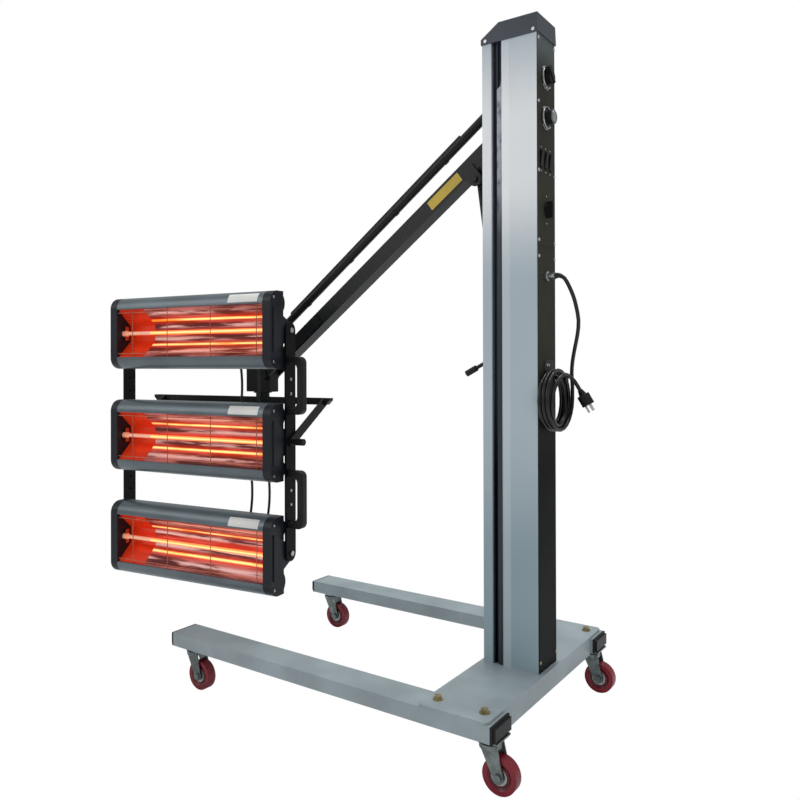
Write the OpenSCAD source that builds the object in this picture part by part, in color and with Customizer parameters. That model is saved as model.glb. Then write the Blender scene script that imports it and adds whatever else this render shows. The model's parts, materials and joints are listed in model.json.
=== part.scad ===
// Mobile infrared curing lamp: a wheeled base, a slotted column with a sliding carriage,
// a sprung parallelogram arm and a head frame that carries three lamp cassettes.
// Millimetres, +Z up. Inside placed(), x = 0 is the rear axle line and y = 0 the middle plane.

/* [Base] */
// Outer length of a floor leg with both end plugs
leg_l = 951; // [700:1:1200]
// Width of a leg tube
leg_w = 78; // [60:1:90]
// Height of a leg tube
leg_h = 34; // [26:1:50]
// Wall of a leg tube
leg_wall = 3; // [2:0.5:5]
// Distance between the middles of the two legs
leg_spacing = 562; // [460:1:700]
// Length of the domed flange of an end plug
plug_flange = 11; // [6:1:16]
// How far the legs reach behind the rear axle line
leg_over = 5; // [0:1:20]
// Length of the base plate along the legs
plate_l = 160.4; // [156:0.1:220]
// Thickness of the base plate
plate_t = 6; // [4:0.5:10]
// Height of the turned down rear edge
plate_flange_h = 40; // [20:1:60]
// Corner radius of the base plate
plate_r = 12; // [4:1:24]

/* [Casters] */
// Radius of a caster wheel
wheel_r = 37.5; // [34:0.5:40]
// Width of a caster wheel
wheel_w = 24; // [18:1:28]
// Height from the floor to the top of a caster
caster_h = 109.5; // [107:0.5:130]
// Distance of a leg's far caster pin from the leg's end
caster_inset = 54.4; // [50:0.1:90]
// How far a wheel trails behind its swivel pin
caster_trail = 24; // [14:1:30]
// Side of the square caster plate
caster_plate_w = 60; // [48:1:70]

/* [Column] */
// Height of the column tube
col_h = 1446.5; // [1430:0.5:1700]
// Depth of the column from its slot side to the panel side
col_d = 137.6; // [130:0.1:150]
// Width of the column
col_w = 98.4; // [96:0.1:110]
// Wall of the column tube
col_wall = 3; // [2.5:0.5:4]
// Width of the slot that the arms come out of
slot_w = 50; // [49:1:54]
// Width of a side groove
groove_w = 26.8; // [22:0.1:30]
// Depth of a side groove
groove_d = 14; // [10:0.5:15]
// Thickness of the control panel and the lower cover
panel_t = 2; // [1.5:0.5:3]
// Height of the control panel
control_h = 480; // [470:1:500]
// Height of the top cap over the column
cap_h = 41; // [36:1:60]
// Wall of the top cap
cap_wall = 2; // [1.5:0.5:3]

/* [Arm] */
// Distance between the arm's pins
arm_l = 937.8; // [800:0.1:1000]
// Drop of the arm from level, in degrees
arm_drop = 36.6; // [30:0.1:38]
// Side of the square arm tube
arm_w = 40; // [34:1:42]
// Diameter of the upper rod
rod_d = 22; // [16:1:26]
// Height of the upper pins over the lower pins
pin_rise = 94; // [88:1:110]
// Depth of the arm's column pin below the column's top
arm_below_top = 222; // [215:1:230]
// Diameter of the arm's pins
arm_pin_d = 16; // [12:1:18]
// Outer diameter of the gas strut
strut_d = 14; // [13:1:20]
// Diameter of the gas strut's rod
strut_rod_d = 8; // [6:1:9]

/* [Head] */
// Turn of the head about the swivel, in degrees
head_turn = 7.2; // [0:0.1:12]
// How far the yoke bar runs past the brace on the cord's far side
bar_over_left = 40.2; // [36:0.1:50]
// How far the yoke bar runs past the other brace
bar_over_right = 18.2; // [14:0.1:30]
// Side of the square yoke bar
bar_w = 19; // [16:1:21]
// Height of the frame rails between the outer pivots
rail_span = 590.4; // [560:0.2:680]
// Depth of a frame rail
rail_d = 42; // [32:1:46]
// Thickness of a frame rail
rail_t = 6; // [4:0.5:8]
// Length of a cassette with its end caps
cassette_l = 572; // [540:1:574]
// Height of a cassette
cassette_h = 205; // [180:1:215]
// Depth of a cassette
cassette_d = 57; // [50:1:62]
// Height of the heating opening
open_h = 137; // [120:1:140]
// Length of one end cap
end_cap_l = 26; // [20:1:34]
// Diameter of the quartz lamp tube
lamp_d = 11; // [8:1:14]
// Diameter of the guard wires
wire_d = 2.4; // [2:0.1:3.2]
// Grip thickness of a grab handle
grip_t = 18; // [14:1:20]
// Reach of a grab handle from the rail
grip_reach = 48.5; // [44:0.5:60]

/* [Cord] */
// Diameter of the mains cord
cord_d = 9; // [7:0.5:9]
// Radius of the outer turns of the hanging coil
coil_r = 68; // [62:1:68]
// Step between turns that lie side by side
coil_pitch = 9.5; // [9.5:0.1:9.6]
// Step between the outer and the inner turns
coil_layer = 9.8; // [9.8:0.1:11]

/* [Hidden] */
$fn = 48;

// Clearances and the overrun of every cut
over = 1;
fit_gap = 0.05;
seat_gap = 0.3;
part_gap = 0.5;

// Colours
c_column = [0.64, 0.70, 0.73];
c_leg = [0.72, 0.74, 0.76];
c_black = [0.10, 0.11, 0.11];
c_panel = [0.23, 0.23, 0.20];
c_cap = [0.26, 0.29, 0.31];
c_red = [0.50, 0.08, 0.14];
c_zinc = [0.48, 0.52, 0.50];
c_steel = [0.80, 0.81, 0.82];
c_copper = [0.72, 0.36, 0.30];
c_glass = [1.00, 0.75, 0.35];
c_shell = [0.20, 0.21, 0.25];

// Levels of the base
leg_z0 = caster_h;
leg_z1 = leg_z0 + leg_h;
plate_z1 = leg_z1 + plate_t;
col_z0 = plate_z1;
col_z1 = col_z0 + col_h;
leg_x0 = leg_over - leg_l;
leg_y = leg_spacing / 2;
base_w = leg_spacing + leg_w;
plate_x0 = -172;
plate_x1 = plate_x0 + plate_l;
base_bolt_inset = 25.5;
base_bolt_x = [plate_x0 + base_bolt_inset, plate_x1 - base_bolt_inset];
base_bolt_d = 10;
base_bolt_head_r = 8.5;
base_bolt_head_h = 6.5;
plate_flange_gap = 2;
plate_flange_w = leg_spacing - leg_w - 2 * plate_flange_gap;
plug_insert_l = 18;
washer_r = 11;
washer_t = 2;
nut_h = 8;
screw_d = 4;
screw_head_r = 4;
screw_head_h = 1.6;
screw_l = 9;
screw_edge = 4.5;

// Casters
plate_disc_r = 20;
caster_plate_t = 4;
race_drop = 12;
race_z0 = caster_h - race_drop;
fork_head_r = 23;
fork_head_t = 9;
fork_head_z1 = race_z0 - part_gap;
fork_head_z0 = fork_head_z1 - fork_head_t;
king_pin_d = 12;
king_nut_r = 9;
king_nut_h = 4.5;
cheek_t = 3;
cheek_gap = 2;
cheek_y = wheel_w / 2 + cheek_gap;
cheek_eye_r = 12;
cheek_back_share = 0.8;
cheek_front_share = 0.95;
axle_d = 10;
axle_nut_r = 8;
axle_nut_h = 5;
hub_r = 21;
hub_recess = 3;
tread_crown = 3;
caster_far_x = leg_x0 + caster_inset;
caster_at = [[-caster_trail, leg_y], [-caster_trail, -leg_y], [caster_far_x, leg_y], [caster_far_x, -leg_y]];

// Column
col_x0 = -161.8;
col_x1 = col_x0 + col_d;
panel_x1 = col_x1 + panel_t;
groove_inset = 23.3;
groove_x0 = col_x0 + groove_inset;
groove_x1 = groove_x0 + groove_w;
chamber_x0 = col_x0 + col_wall;
chamber_over = 10.2;
chamber_x1 = groove_x1 + chamber_over;
web_t = 3;
bay_x0 = chamber_x1 + web_t;
bay_lip = 6;
bay_x1 = col_x1 - bay_lip;
bay_w = col_w - 2 * col_wall;
bay_open_w = 82;
guide_y = col_w / 2 - groove_d - col_wall;
trim_floor_t = 3;
trim_rib_t = 3;
trim_rib_h = 9;
trim_rib_shares = [0.12, 0.5, 0.88];
panel_edge = 1;
panel_w = col_w - 2 * panel_edge;
panel_top_gap = 2;
control_z1 = col_z1 - panel_top_gap;
control_z0 = control_z1 - control_h;
cover_z1 = control_z0 - part_gap;
cover_z0 = col_z0 + part_gap;
screw_y = panel_w / 2 - screw_edge;
screw_inset = 12;
screw_drop = [311, 155];
control_screw_z = [control_z0 + screw_inset, control_z1 - screw_drop[0], control_z1 - screw_drop[1],
    control_z1 - screw_inset];
cover_screw_z = [cover_z0 + 2 * screw_inset, cover_z1 - 2 * screw_inset];
cap_gap = seat_gap;
cap_y = col_w / 2 + cap_gap + cap_wall;
cap_x0 = col_x0 - cap_gap - cap_wall;
cap_lean_gap = 1;
cap_x1 = panel_x1 + cap_lean_gap + cap_wall;
cap_lean = 2;
cap_lap = 3;
cap_z0 = col_z1 - cap_lap;
cap_z1 = col_z1 + cap_h;
cap_slope = 46;
cap_side_h = 13;
cap_screw_inset = 12;
cap_screw_rise = 7;
cap_screw_z = cap_z0 + cap_screw_rise;
cap_screw_x = [cap_x0 + cap_screw_inset, cap_x1 - cap_screw_inset];

// Controls on the panel
dial_y = -2;
power_drop = 92;
power_z = control_z1 - power_drop;
timer_drop = 184;
timer_z = control_z1 - timer_drop;
dial_r = 27;
dial_ring_w = 4;
dial_ring_t = 0.8;
dial_open_turn = -135;
shaft_d = 6;
shaft_hole_d = 10;
pot_r = 12;
knob_r = 15;
knob_l = 16;
knob_base_r = 21;
knob_base_l = 4;
pointer_w = 9;
pointer_l = 40;
pointer_turn = 40;
knob_lift = 1;
timer_r = 16;
timer_l = 20;
board_depth = 26;
board_x = col_x1 - board_depth;
board_t = 2;
board_w = 80;
board_margin = 24;
rocker_drop = 283;
rocker_z = control_z1 - rocker_drop;
rocker_y = [-29.7, -5, 19.7];
rocker_w = 13;
rocker_h = 34;
rocker_out = 4;
rocker_in = 6;
rocker_tilt = 8;
rocker_pin_d = 3;
rocker_hole_w = 15;
rocker_hole_h = 41;
housing_wall = 2.6;
housing_hollow = 14;
housing_w = rocker_hole_w + 2 * housing_wall;
rocker_pin_back = 3;
rocker_x = col_x1 - rocker_pin_back;
switch_drop = 395;
switch_z = control_z1 - switch_drop;
shaft_inset = 4;
shaft_x0 = board_x + board_t + shaft_inset;
knob_at = [[dial_y, power_z], [dial_y, timer_z], [0, switch_z]];
switch_r = 14;
switch_base_l = 5;
switch_grip_w = 8;
switch_grip_l = 37;
switch_grip_h = 16;

// Cord, its gland and its hook
gland_y = -8;
gland_z = 1046;
gland_r = 8.5;
gland_nut_r = 12;
gland_nut_l = 7;
gland_l = 24.2;
coil_y = 4;
coil_z = 763;
coil_x0 = 10;
coil_start_l = 12;
coil_turn_steps = 24;
coil_step = 1 / coil_turn_steps;
coil_back = 2.75;
coil_climb = 2.5;
coil_loose = 4;
coil_end = 4.75;
coil_end_x = 21;
coil_sides = 6;
lead_sides = 10;
lead_route = [[2, -8, 1046], [7, -8, 1046], [12, -8, 1046], [23, -6, 1039], [31, 0, 1022], [37, 10, 1000],
    [40, 20, 977], [41, 32, 945], [34, 44, 915], [24, 54, 885], [15, 62, 855], [10, 68, 825]];
tail_route = [[22, 13, 820], [23, 21, 817], [26, 29, 812], [30, 34, 806], [35, 38, 796]];
plug_tilt = 150;
plug_az = 13;
plug_relief_r = 5.6;
plug_neck_r = 9;
plug_relief_l = 13;
plug_body_r = 14.5;
plug_body_l = 26;
plug_pin_d = 4.8;
plug_pin_l = 16;
plug_pin_ring = 7.2;
hook_y0 = -18;
hook_y1 = 45;
hook_t = 1.2;
hook_z0 = 808;
hook_z1 = 855;
hook_dome_r = 16;
hook_screw_z = 843;
hook_screw_y = [-4, 6];
hook_arm_w = 16;
hook_arm_t = 3;
hook_arm_l = 47;
hook_tab_h = 12;

// Carriage in the column
pin_x = -145;
arm_z = col_z1 - arm_below_top;
carriage_t = 4;
carriage_side_gap = 2.4;
carriage_back_gap = 3;
carriage_front_gap = 2;
carriage_y = guide_y - carriage_side_gap;
carriage_x0 = chamber_x0 + carriage_back_gap;
carriage_x1 = chamber_x1 - carriage_front_gap;
carriage_foot = 584;
carriage_over = 20;
carriage_z0 = arm_z - carriage_foot;
carriage_z1 = arm_z + pin_rise + carriage_over;
pad_l = 60;
pad_inset = 20;
mid_pad_drop = 200;
pad_z = [carriage_z0 + pad_inset, arm_z - mid_pad_drop, carriage_z1 - pad_inset - pad_l];
pad_t = guide_y - carriage_y - seat_gap;
rod_pin_d = 12;
strut_pin_back = 3;
strut_pin_drop = 434;
strut_pin = [pin_x - strut_pin_back, arm_z - strut_pin_drop];
strut_pin_d = 10;
lever_back = 6;
lever_drop = 512;
lever_reach = 76;
lever_fall = 40;
lever_at = [pin_x - lever_back, arm_z - lever_drop];
lever_tip = [lever_at[0] - lever_reach, lever_at[1] - lever_fall];
lever_y = -10;
lever_d = 9;
lever_eye_r = 13;
lever_w = 12;
lever_grip_d = 15;
lever_grip_l = 30;

// Arm, measured from its column pin along the tube
arm_wall = 3;
arm_plate_t = 5;
arm_plate_l = 262;
arm_plate_h = 30;
arm_fork_l = 90;
arm_tube_end = arm_l - arm_fork_l;
arm_eye_r = arm_w / 2;
ear_at = [-91, -37];
ear_r = 17;
ear_t = 5;
ear_bolt_d = 8;
ear_bolt_head_r = 8;
ear_bolt_head_h = 5;
rod_eye_r = 16;
rod_eye_w = 20;
rod_cable_d = 7;
rod_cable_inset = 120;
clip_w = 10;
clip_t = 1.5;
clip_shares = [0.2, 0.4, 0.6, 0.8];
strut_eye_r = 12;
strut_eye_w = 14;
strut_cyl_l = 200;
strut_cyl_neck = 16;
strut_end_play = 5.6;
strut_end_wall = 4;
strut_rod_in = 120;
strut_wall = 1.8;
piston_r = strut_d / 2 - strut_wall;
strut_top = [pin_x + ear_at[0] * cos(arm_drop) - ear_at[1] * sin(arm_drop),
    arm_z + ear_at[0] * sin(arm_drop) + ear_at[1] * cos(arm_drop)];
strut_l = norm(strut_pin - strut_top);
strut_lean = -atan2(strut_pin[0] - strut_top[0], strut_top[1] - strut_pin[1]);

// Knuckle and swivel
head_pin_x = pin_x - arm_l * cos(arm_drop);
head_pin_z = arm_z - arm_l * sin(arm_drop);
top_pin_z = head_pin_z + pin_rise;
head_pin_y = arm_w / 2 + arm_plate_t + seat_gap;
swivel_reach = 26;
swivel_x = head_pin_x - swivel_reach;
knuckle_w = 35;
knuckle_back = 50;
knuckle_front = 20;
knuckle_below = 50;
knuckle_above = 31;
knuckle_x0 = swivel_x - knuckle_back;
knuckle_x1 = head_pin_x + knuckle_front;
knuckle_z0 = head_pin_z - knuckle_below;
knuckle_z1 = head_pin_z + knuckle_above;
knuckle_cheek_t = 6;
knuckle_tower_back = 22;
knuckle_tower_x0 = head_pin_x - knuckle_tower_back;
knuckle_top_r = 16;
washer_gap = 15;
swivel_pin_d = 24;
swivel_pin_l = 30;
swivel_boss_r = 20;
swivel_washer_r = 26;
swivel_washer_t = 3;
head_pin_over = 4;

// Head, measured from the middle of its cassettes
head_x = 81;
head_y = -10;
head_pivot_y = -170;
mid_pivot_drop = 174;
mid_pivot_z = head_pin_z - mid_pivot_drop;
cassette_z = [mid_pivot_z + rail_span / 2, mid_pivot_z, mid_pivot_z - rail_span / 2];
front_y = -247;
back_y = front_y + cassette_d;
band_r = 32;
shell_wall = 2.5;
back_wall = 4;
ear_plate_t = 3;
ear_plate_h = 120;
ear_plate_tip = 22;
ear_plate_reach = 24;
rail_x0 = cassette_l / 2 + ear_plate_t + seat_gap;
rail_x1 = rail_x0 + rail_t;
rail_hole_d = 7;
rail_hole_shares = [0.28, 0.215, -0.218, -0.281];
brace_t = 6;
brace_h = 24;
brace_x0 = rail_x1 + part_gap;
brace_x1 = brace_x0 + brace_t;
bar_x0 = -brace_x1 - bar_over_left;
bar_x1 = brace_x1 + bar_over_right;
bar_z1 = knuckle_z0 - washer_gap;
bar_z0 = bar_z1 - bar_w;
bar_chamfer = 12;
bolt_d = 8;
bolt_head_r = 7;
bolt_head_h = 5;
bolt_nut_l = 4;
tilt_knob_r = 9;
tilt_knob_l = 28;
tilt_boss_r = 7;
handle_shares = [0.252, -0.254];
handle_h = 152;
handle_w = 22;
handle_r = 16;
handle_y = -177;
socket_r = 5;
lead_x = [[70, 130], [105, 165]];
socket_x = [lead_x[0], concat(lead_x[0], lead_x[1]), lead_x[1]];
lead_d = 7;
lead_y0 = head_pivot_y + socket_r + seat_gap;
lead_reach = 48;
lead_bow = 20;
// Along the drop, across the bow and out behind, from one socket to the next
lead_shares = [[0, 0, 0], [0, 0, 0.2], [0.03, 0.02, 0.55], [0.1, 0.15, 0.84], [0.22, 0.5, 0.97], [0.36, 0.85, 1],
    [0.5, 1, 1], [0.64, 0.9, 1], [0.78, 0.6, 0.97], [0.9, 0.2, 0.84], [0.97, 0.02, 0.55], [1, 0, 0.2], [1, 0, 0]];
reflector_t = 1.2;
reflector_front = 8;
reflector_floor = 24;
ceramic_r = 8;
ceramic_l = 16;
lamp_back = 27;
lamp_y = front_y + lamp_back;
wire_shares = [-0.785, -0.28, 0.315, 0.91];
wire_front = 4;
shell_x = cassette_l / 2 - end_cap_l;
trough_back = back_y - back_wall - seat_gap;
wire_inset = 10;

// The object is centred over its own floor outline
head_left = swivel_x + (bar_x0 - head_x) * cos(head_turn) - bar_w / 2 * sin(head_turn);
mid_x = (head_left + wheel_r) / 2;

// Functions
function unit(v) = v / norm(v);
function tangent(p, i) = unit(p[min(i + 1, len(p) - 1)] - p[max(i - 1, 0)]);
function side_of(t, u) = unit(u - (u * t) * t);
function sides_along(p, u0) = [for (i = 0, u = side_of(tangent(p, 0), u0); i < len(p);
    i = i + 1, u = i < len(p) ? side_of(tangent(p, i), u) : u) u];
function catmull(a, b, c, d, t) = 0.5 * ((2 * b) + (c - a) * t + (2 * a - 5 * b + 4 * c - d) * t * t
    + (3 * b - a - 3 * c + d) * t * t * t);
function smooth(p, k) = concat([for (i = [0 : len(p) - 2], j = [0 : k - 1])
    catmull(p[max(i - 1, 0)], p[i], p[i + 1], p[min(i + 2, len(p) - 1)], j / k)], [p[len(p) - 1]]);

// A round tube swept along the points p as one closed skin of triangles
module swept(p, r, n, u0) {
    u = sides_along(p, u0);
    m = len(p);
    rings = [for (i = [0 : m - 1], j = [0 : n - 1])
        p[i] + r * cos(360 * j / n) * u[i] + r * sin(360 * j / n) * cross(tangent(p, i), u[i])];
    walls = [for (i = [0 : m - 2], j = [0 : n - 1], h = [0, 1])
        h == 0 ? [i * n + j, (i + 1) * n + j, (i + 1) * n + (j + 1) % n]
            : [i * n + j, (i + 1) * n + (j + 1) % n, i * n + (j + 1) % n]];
    ends = [for (j = [1 : n - 2], h = [0, 1])
        h == 0 ? [0, j, j + 1] : [(m - 1) * n, (m - 1) * n + j + 1, (m - 1) * n + j]];
    polyhedron(rings, concat(walls, ends), convexity = 10);
}

// Shapes between two corners, and round bars along an axis
module block(lo, hi) translate(lo) cube(hi - lo);
module flat(lo, hi) translate(lo) square(hi - lo);
module bar_x(y, z, r, x0, x1) translate([x0, y, z]) rotate([0, 90, 0]) cylinder(r = r, h = x1 - x0);
module bar_y(x, z, r, y0, y1) translate([x, y0, z]) rotate([-90, 0, 0]) cylinder(r = r, h = y1 - y0);
module bar_z(x, y, r, z0, z1) translate([x, y, z0]) cylinder(r = r, h = z1 - z0);
// An outline drawn in x and z, given a thickness along y
module slab_y(y0, y1) translate([0, y1, 0]) rotate([90, 0, 0]) linear_extrude(y1 - y0) children();
// An outline drawn in y and z, given a thickness along x
module slab_x(x0, x1) translate([x0, 0, 0]) rotate([90, 0, 90]) linear_extrude(x1 - x0) children();
module hex_z(x, y, r, z0, z1) translate([x, y, z0]) cylinder(r = r, h = z1 - z0, $fn = 6);
module placed() translate([-mid_x, 0, 0]) children();
module on_head() translate([swivel_x, 0, 0]) rotate([0, 0, head_turn])
    translate([-head_x, -head_y, 0]) children();
module on_arm() translate([pin_x, 0, arm_z]) rotate([0, -arm_drop, 0]) children();
module on_rod() translate([pin_x, 0, arm_z + pin_rise]) rotate([0, -arm_drop, 0]) children();

// Casters

module caster_plates() color(c_zinc) placed() for (c = caster_at) translate([c[0], c[1], 0]) {
    block([-caster_plate_w / 2, -caster_plate_w / 2, leg_z0 - caster_plate_t],
        [caster_plate_w / 2, caster_plate_w / 2, leg_z0]);
    bar_z(0, 0, plate_disc_r, race_z0, leg_z0 - caster_plate_t / 2);
    bar_z(0, 0, king_pin_d / 2, fork_head_z0 - king_nut_h, race_z0 + over);
    bar_z(0, 0, king_nut_r, fork_head_z0 - seat_gap - king_nut_h, fork_head_z0 - seat_gap);
}

module cheek_outline() {
    polygon([[-fork_head_r * cheek_back_share, fork_head_z1], [fork_head_r * cheek_front_share, fork_head_z1],
        [caster_trail + cheek_eye_r, wheel_r], [caster_trail - cheek_eye_r, wheel_r]]);
    translate([caster_trail, wheel_r]) circle(cheek_eye_r);
}

module fork(c) color(c_zinc) placed() translate([c[0], c[1], 0]) difference() {
    union() {
        bar_z(0, 0, fork_head_r, fork_head_z0, fork_head_z1);
        slab_y(cheek_y, cheek_y + cheek_t) cheek_outline();
        slab_y(-cheek_y - cheek_t, -cheek_y) cheek_outline();
        bar_y(caster_trail, wheel_r, axle_d / 2, -cheek_y - over, cheek_y + over);
        bar_y(caster_trail, wheel_r, axle_nut_r, cheek_y + cheek_t, cheek_y + cheek_t + axle_nut_h);
        bar_y(caster_trail, wheel_r, axle_nut_r, -cheek_y - cheek_t - axle_nut_h, -cheek_y - cheek_t);
    }
    bar_z(0, 0, king_pin_d / 2 + fit_gap, fork_head_z0 - over, fork_head_z1 + over);
}
module fork_1() fork(caster_at[0]);
module fork_2() fork(caster_at[1]);
module fork_3() fork(caster_at[2]);
module fork_4() fork(caster_at[3]);

// A wheel's section, radius across and width up: hub boss, recess and crowned tread
module wheel_section() {
    hub_boss_r = hub_r - axle_nut_r;
    side = [[axle_d / 2 + fit_gap, wheel_w / 2], [hub_boss_r, wheel_w / 2],
        [hub_boss_r, wheel_w / 2 - hub_recess], [hub_r, wheel_w / 2 - hub_recess], [hub_r, wheel_w / 2],
        [wheel_r - tread_crown, wheel_w / 2], [wheel_r, wheel_w / 2 - tread_crown]];
    last = len(side) - 1;
    polygon(concat(side, [for (i = [0 : last]) [side[last - i][0], -side[last - i][1]]]));
}
module wheel(c) color(c_red) placed() translate([c[0] + caster_trail, c[1], wheel_r]) rotate([90, 0, 0])
    rotate_extrude($fn = 96) wheel_section();
module wheel_1() wheel(caster_at[0]);
module wheel_2() wheel(caster_at[1]);
module wheel_3() wheel(caster_at[2]);
module wheel_4() wheel(caster_at[3]);

// Base

module bolt_holes(z0, z1) for (x = base_bolt_x, s = [-1, 1]) bar_z(x, s * leg_y, base_bolt_d / 2, z0, z1);

module legs() color(c_leg) placed() for (s = [-1, 1]) difference() {
    block([leg_x0 + plug_flange, s * leg_y - leg_w / 2, leg_z0],
        [leg_over - plug_flange, s * leg_y + leg_w / 2, leg_z1]);
    block([leg_x0, s * leg_y - leg_w / 2 + leg_wall, leg_z0 + leg_wall],
        [leg_over, s * leg_y + leg_w / 2 - leg_wall, leg_z1 - leg_wall]);
    bolt_holes(leg_z1 - leg_wall - over, leg_z1 + over);
}

// An end plug drawn with its flange face at x = 0 and its insert towards -x
module leg_plug() {
    in_y = leg_w / 2 - leg_wall - seat_gap;
    step = plug_flange / 3;
    block([0, -leg_w / 2, leg_z0], [plug_flange / 2, leg_w / 2, leg_z1]);
    block([0, -leg_w / 2 + step, leg_z0 + step], [plug_flange, leg_w / 2 - step, leg_z1 - step]);
    block([-plug_insert_l, -in_y, leg_z0 + leg_wall + seat_gap], [over, in_y, leg_z1 - leg_wall - seat_gap]);
}
module leg_plugs() color(c_black) placed() for (s = [-1, 1]) {
    translate([leg_over - plug_flange, s * leg_y, 0]) leg_plug();
    translate([leg_x0 + plug_flange, s * leg_y, 0]) mirror([1, 0, 0]) leg_plug();
}

module base_plate() color(c_leg) placed() difference() {
    union() {
        translate([0, 0, leg_z1]) linear_extrude(plate_t) {
            flat([plate_x0 + plate_r, -base_w / 2], [plate_x1 - plate_r, base_w / 2]);
            flat([plate_x0, -base_w / 2 + plate_r], [plate_x1, base_w / 2 - plate_r]);
            for (x = [plate_x0 + plate_r, plate_x1 - plate_r], s = [-1, 1])
                translate([x, s * (base_w / 2 - plate_r)]) circle(plate_r);
        }
        block([plate_x1 - plate_t, -plate_flange_w / 2, leg_z1 - plate_flange_h],
            [plate_x1, plate_flange_w / 2, leg_z1 + over]);
    }
    bolt_holes(leg_z1 - over, plate_z1 + over);
}

module base_bolt(x, y) {
    bar_z(x, y, base_bolt_d / 2 - fit_gap, leg_z1 - leg_wall - nut_h, plate_z1 + washer_t + over);
    bar_z(x, y, washer_r, plate_z1, plate_z1 + washer_t);
    hex_z(x, y, base_bolt_head_r, plate_z1 + washer_t, plate_z1 + washer_t + base_bolt_head_h);
    hex_z(x, y, base_bolt_head_r, leg_z1 - leg_wall - nut_h, leg_z1 - leg_wall);
}
module cover_screw(y, z) {
    bar_x(y, z, screw_head_r, panel_x1, panel_x1 + screw_head_h);
    bar_x(y, z, screw_d / 2 - fit_gap, panel_x1 - screw_l, panel_x1 + over);
}
module cover_screw_holes(zs) for (z = zs, s = [-1, 1])
    bar_x(s * screw_y, z, screw_d / 2, panel_x1 - screw_l - over, panel_x1 + over);
// A screw through the cap's side at +y, with its nut inside the wall
module cap_screw(x) {
    bar_y(x, cap_screw_z, screw_head_r, cap_y, cap_y + screw_head_h);
    bar_y(x, cap_screw_z, screw_d / 2 - fit_gap, cap_y - cap_wall - nut_h / 2, cap_y + over);
    bar_y(x, cap_screw_z, screw_head_r, cap_y - cap_wall - nut_h / 2, cap_y - cap_wall);
}
module frame_fasteners() color(c_steel) placed() {
    for (x = base_bolt_x, s = [-1, 1]) base_bolt(x, s * leg_y);
    for (z = concat(control_screw_z, cover_screw_z), s = [-1, 1]) cover_screw(s * screw_y, z);
    for (x = cap_screw_x, m = [0, 1]) mirror([0, m, 0]) cap_screw(x);
    for (y = hook_screw_y) bar_x(y, hook_screw_z, screw_head_r / 2 + hook_t, panel_x1 + hook_t,
        panel_x1 + hook_t + screw_head_h);
}

// Column

module column_section() difference() {
    skin_y = col_w / 2 - col_wall;
    flat([col_x0, -col_w / 2], [col_x1, col_w / 2]);
    flat([groove_x0, col_w / 2 - groove_d], [groove_x1, col_w / 2 + over]);
    flat([groove_x0, -col_w / 2 - over], [groove_x1, -col_w / 2 + groove_d]);
    flat([chamber_x0, -guide_y], [chamber_x1, guide_y]);
    flat([chamber_x0, -skin_y], [groove_x0 - col_wall, skin_y]);
    flat([groove_x1 + col_wall, -skin_y], [chamber_x1, skin_y]);
    flat([col_x0 - over, -slot_w / 2], [chamber_x0 + over, slot_w / 2]);
    flat([bay_x0, -bay_w / 2], [bay_x1, bay_w / 2]);
    flat([bay_x0, -bay_open_w / 2], [col_x1 + over, bay_open_w / 2]);
}
module column() color(c_column) placed() difference() {
    translate([0, 0, col_z0]) linear_extrude(col_h) column_section();
    cover_screw_holes(concat(control_screw_z, cover_screw_z));
}

module groove_trim() {
    y0 = col_w / 2 - groove_d;
    trim_w = groove_w - 2 * seat_gap;
    translate([groove_x0 + seat_gap, y0, col_z0]) linear_extrude(col_h) {
        flat([0, 0], [trim_w, trim_floor_t]);
        for (k = trim_rib_shares) flat([k * trim_w - trim_rib_t / 2, 0], [k * trim_w + trim_rib_t / 2, trim_rib_h]);
    }
}
module groove_trims() color(c_black) placed() for (m = [0, 1]) mirror([0, m, 0]) groove_trim();

module cap_outline(t) polygon([[cap_x0 + t, cap_z0 - t], [cap_x0 + t, cap_z0 + cap_side_h - t / 2],
    [cap_x0 + cap_slope + t / 2, cap_z1 - t], [cap_x1 - cap_lean - t, cap_z1 - t], [cap_x1 - t, cap_z0 - t]]);
module top_cap() color(c_cap) placed() difference() {
    slab_y(-cap_y, cap_y) cap_outline(0);
    slab_y(-cap_y + cap_wall, cap_y - cap_wall) cap_outline(cap_wall);
    for (x = cap_screw_x) bar_y(x, cap_screw_z, screw_d / 2, -cap_y - over, cap_y + over);
}

// A hole, or with a smaller half width and height an opening, for each rocker
module rocker_cuts(x0, x1) for (y = rocker_y)
    block([x0, y - rocker_hole_w / 2, rocker_z - rocker_hole_h / 2],
        [x1, y + rocker_hole_w / 2, rocker_z + rocker_hole_h / 2]);

module control_panel() color(c_panel) placed() difference() {
    block([col_x1, -panel_w / 2, control_z0], [panel_x1, panel_w / 2, control_z1]);
    for (k = knob_at) bar_x(k[0], k[1], shaft_hole_d / 2, col_x1 - over, panel_x1 + over);
    rocker_cuts(col_x1 - over, panel_x1 + over);
    cover_screw_holes(control_screw_z);
}

module lower_cover() color(c_panel) placed() difference() {
    block([col_x1, -panel_w / 2, cover_z0], [panel_x1, panel_w / 2, cover_z1]);
    bar_x(gland_y, gland_z, gland_r, col_x1 - over, panel_x1 + over);
    cover_screw_holes(cover_screw_z);
}

module dial_ring(z) difference() {
    bar_x(dial_y, z, dial_r, panel_x1, panel_x1 + dial_ring_t);
    bar_x(dial_y, z, dial_r - dial_ring_w, panel_x1 - over, panel_x1 + dial_ring_t + over);
    translate([panel_x1 - over, dial_y, z]) rotate([dial_open_turn, 0, 0])
        block([0, 0, -2 * dial_r], [dial_ring_t + 2 * over, 2 * dial_r, 0]);
}
module dial_rings() color(c_steel) placed() {
    dial_ring(power_z);
    dial_ring(timer_z);
}

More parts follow.
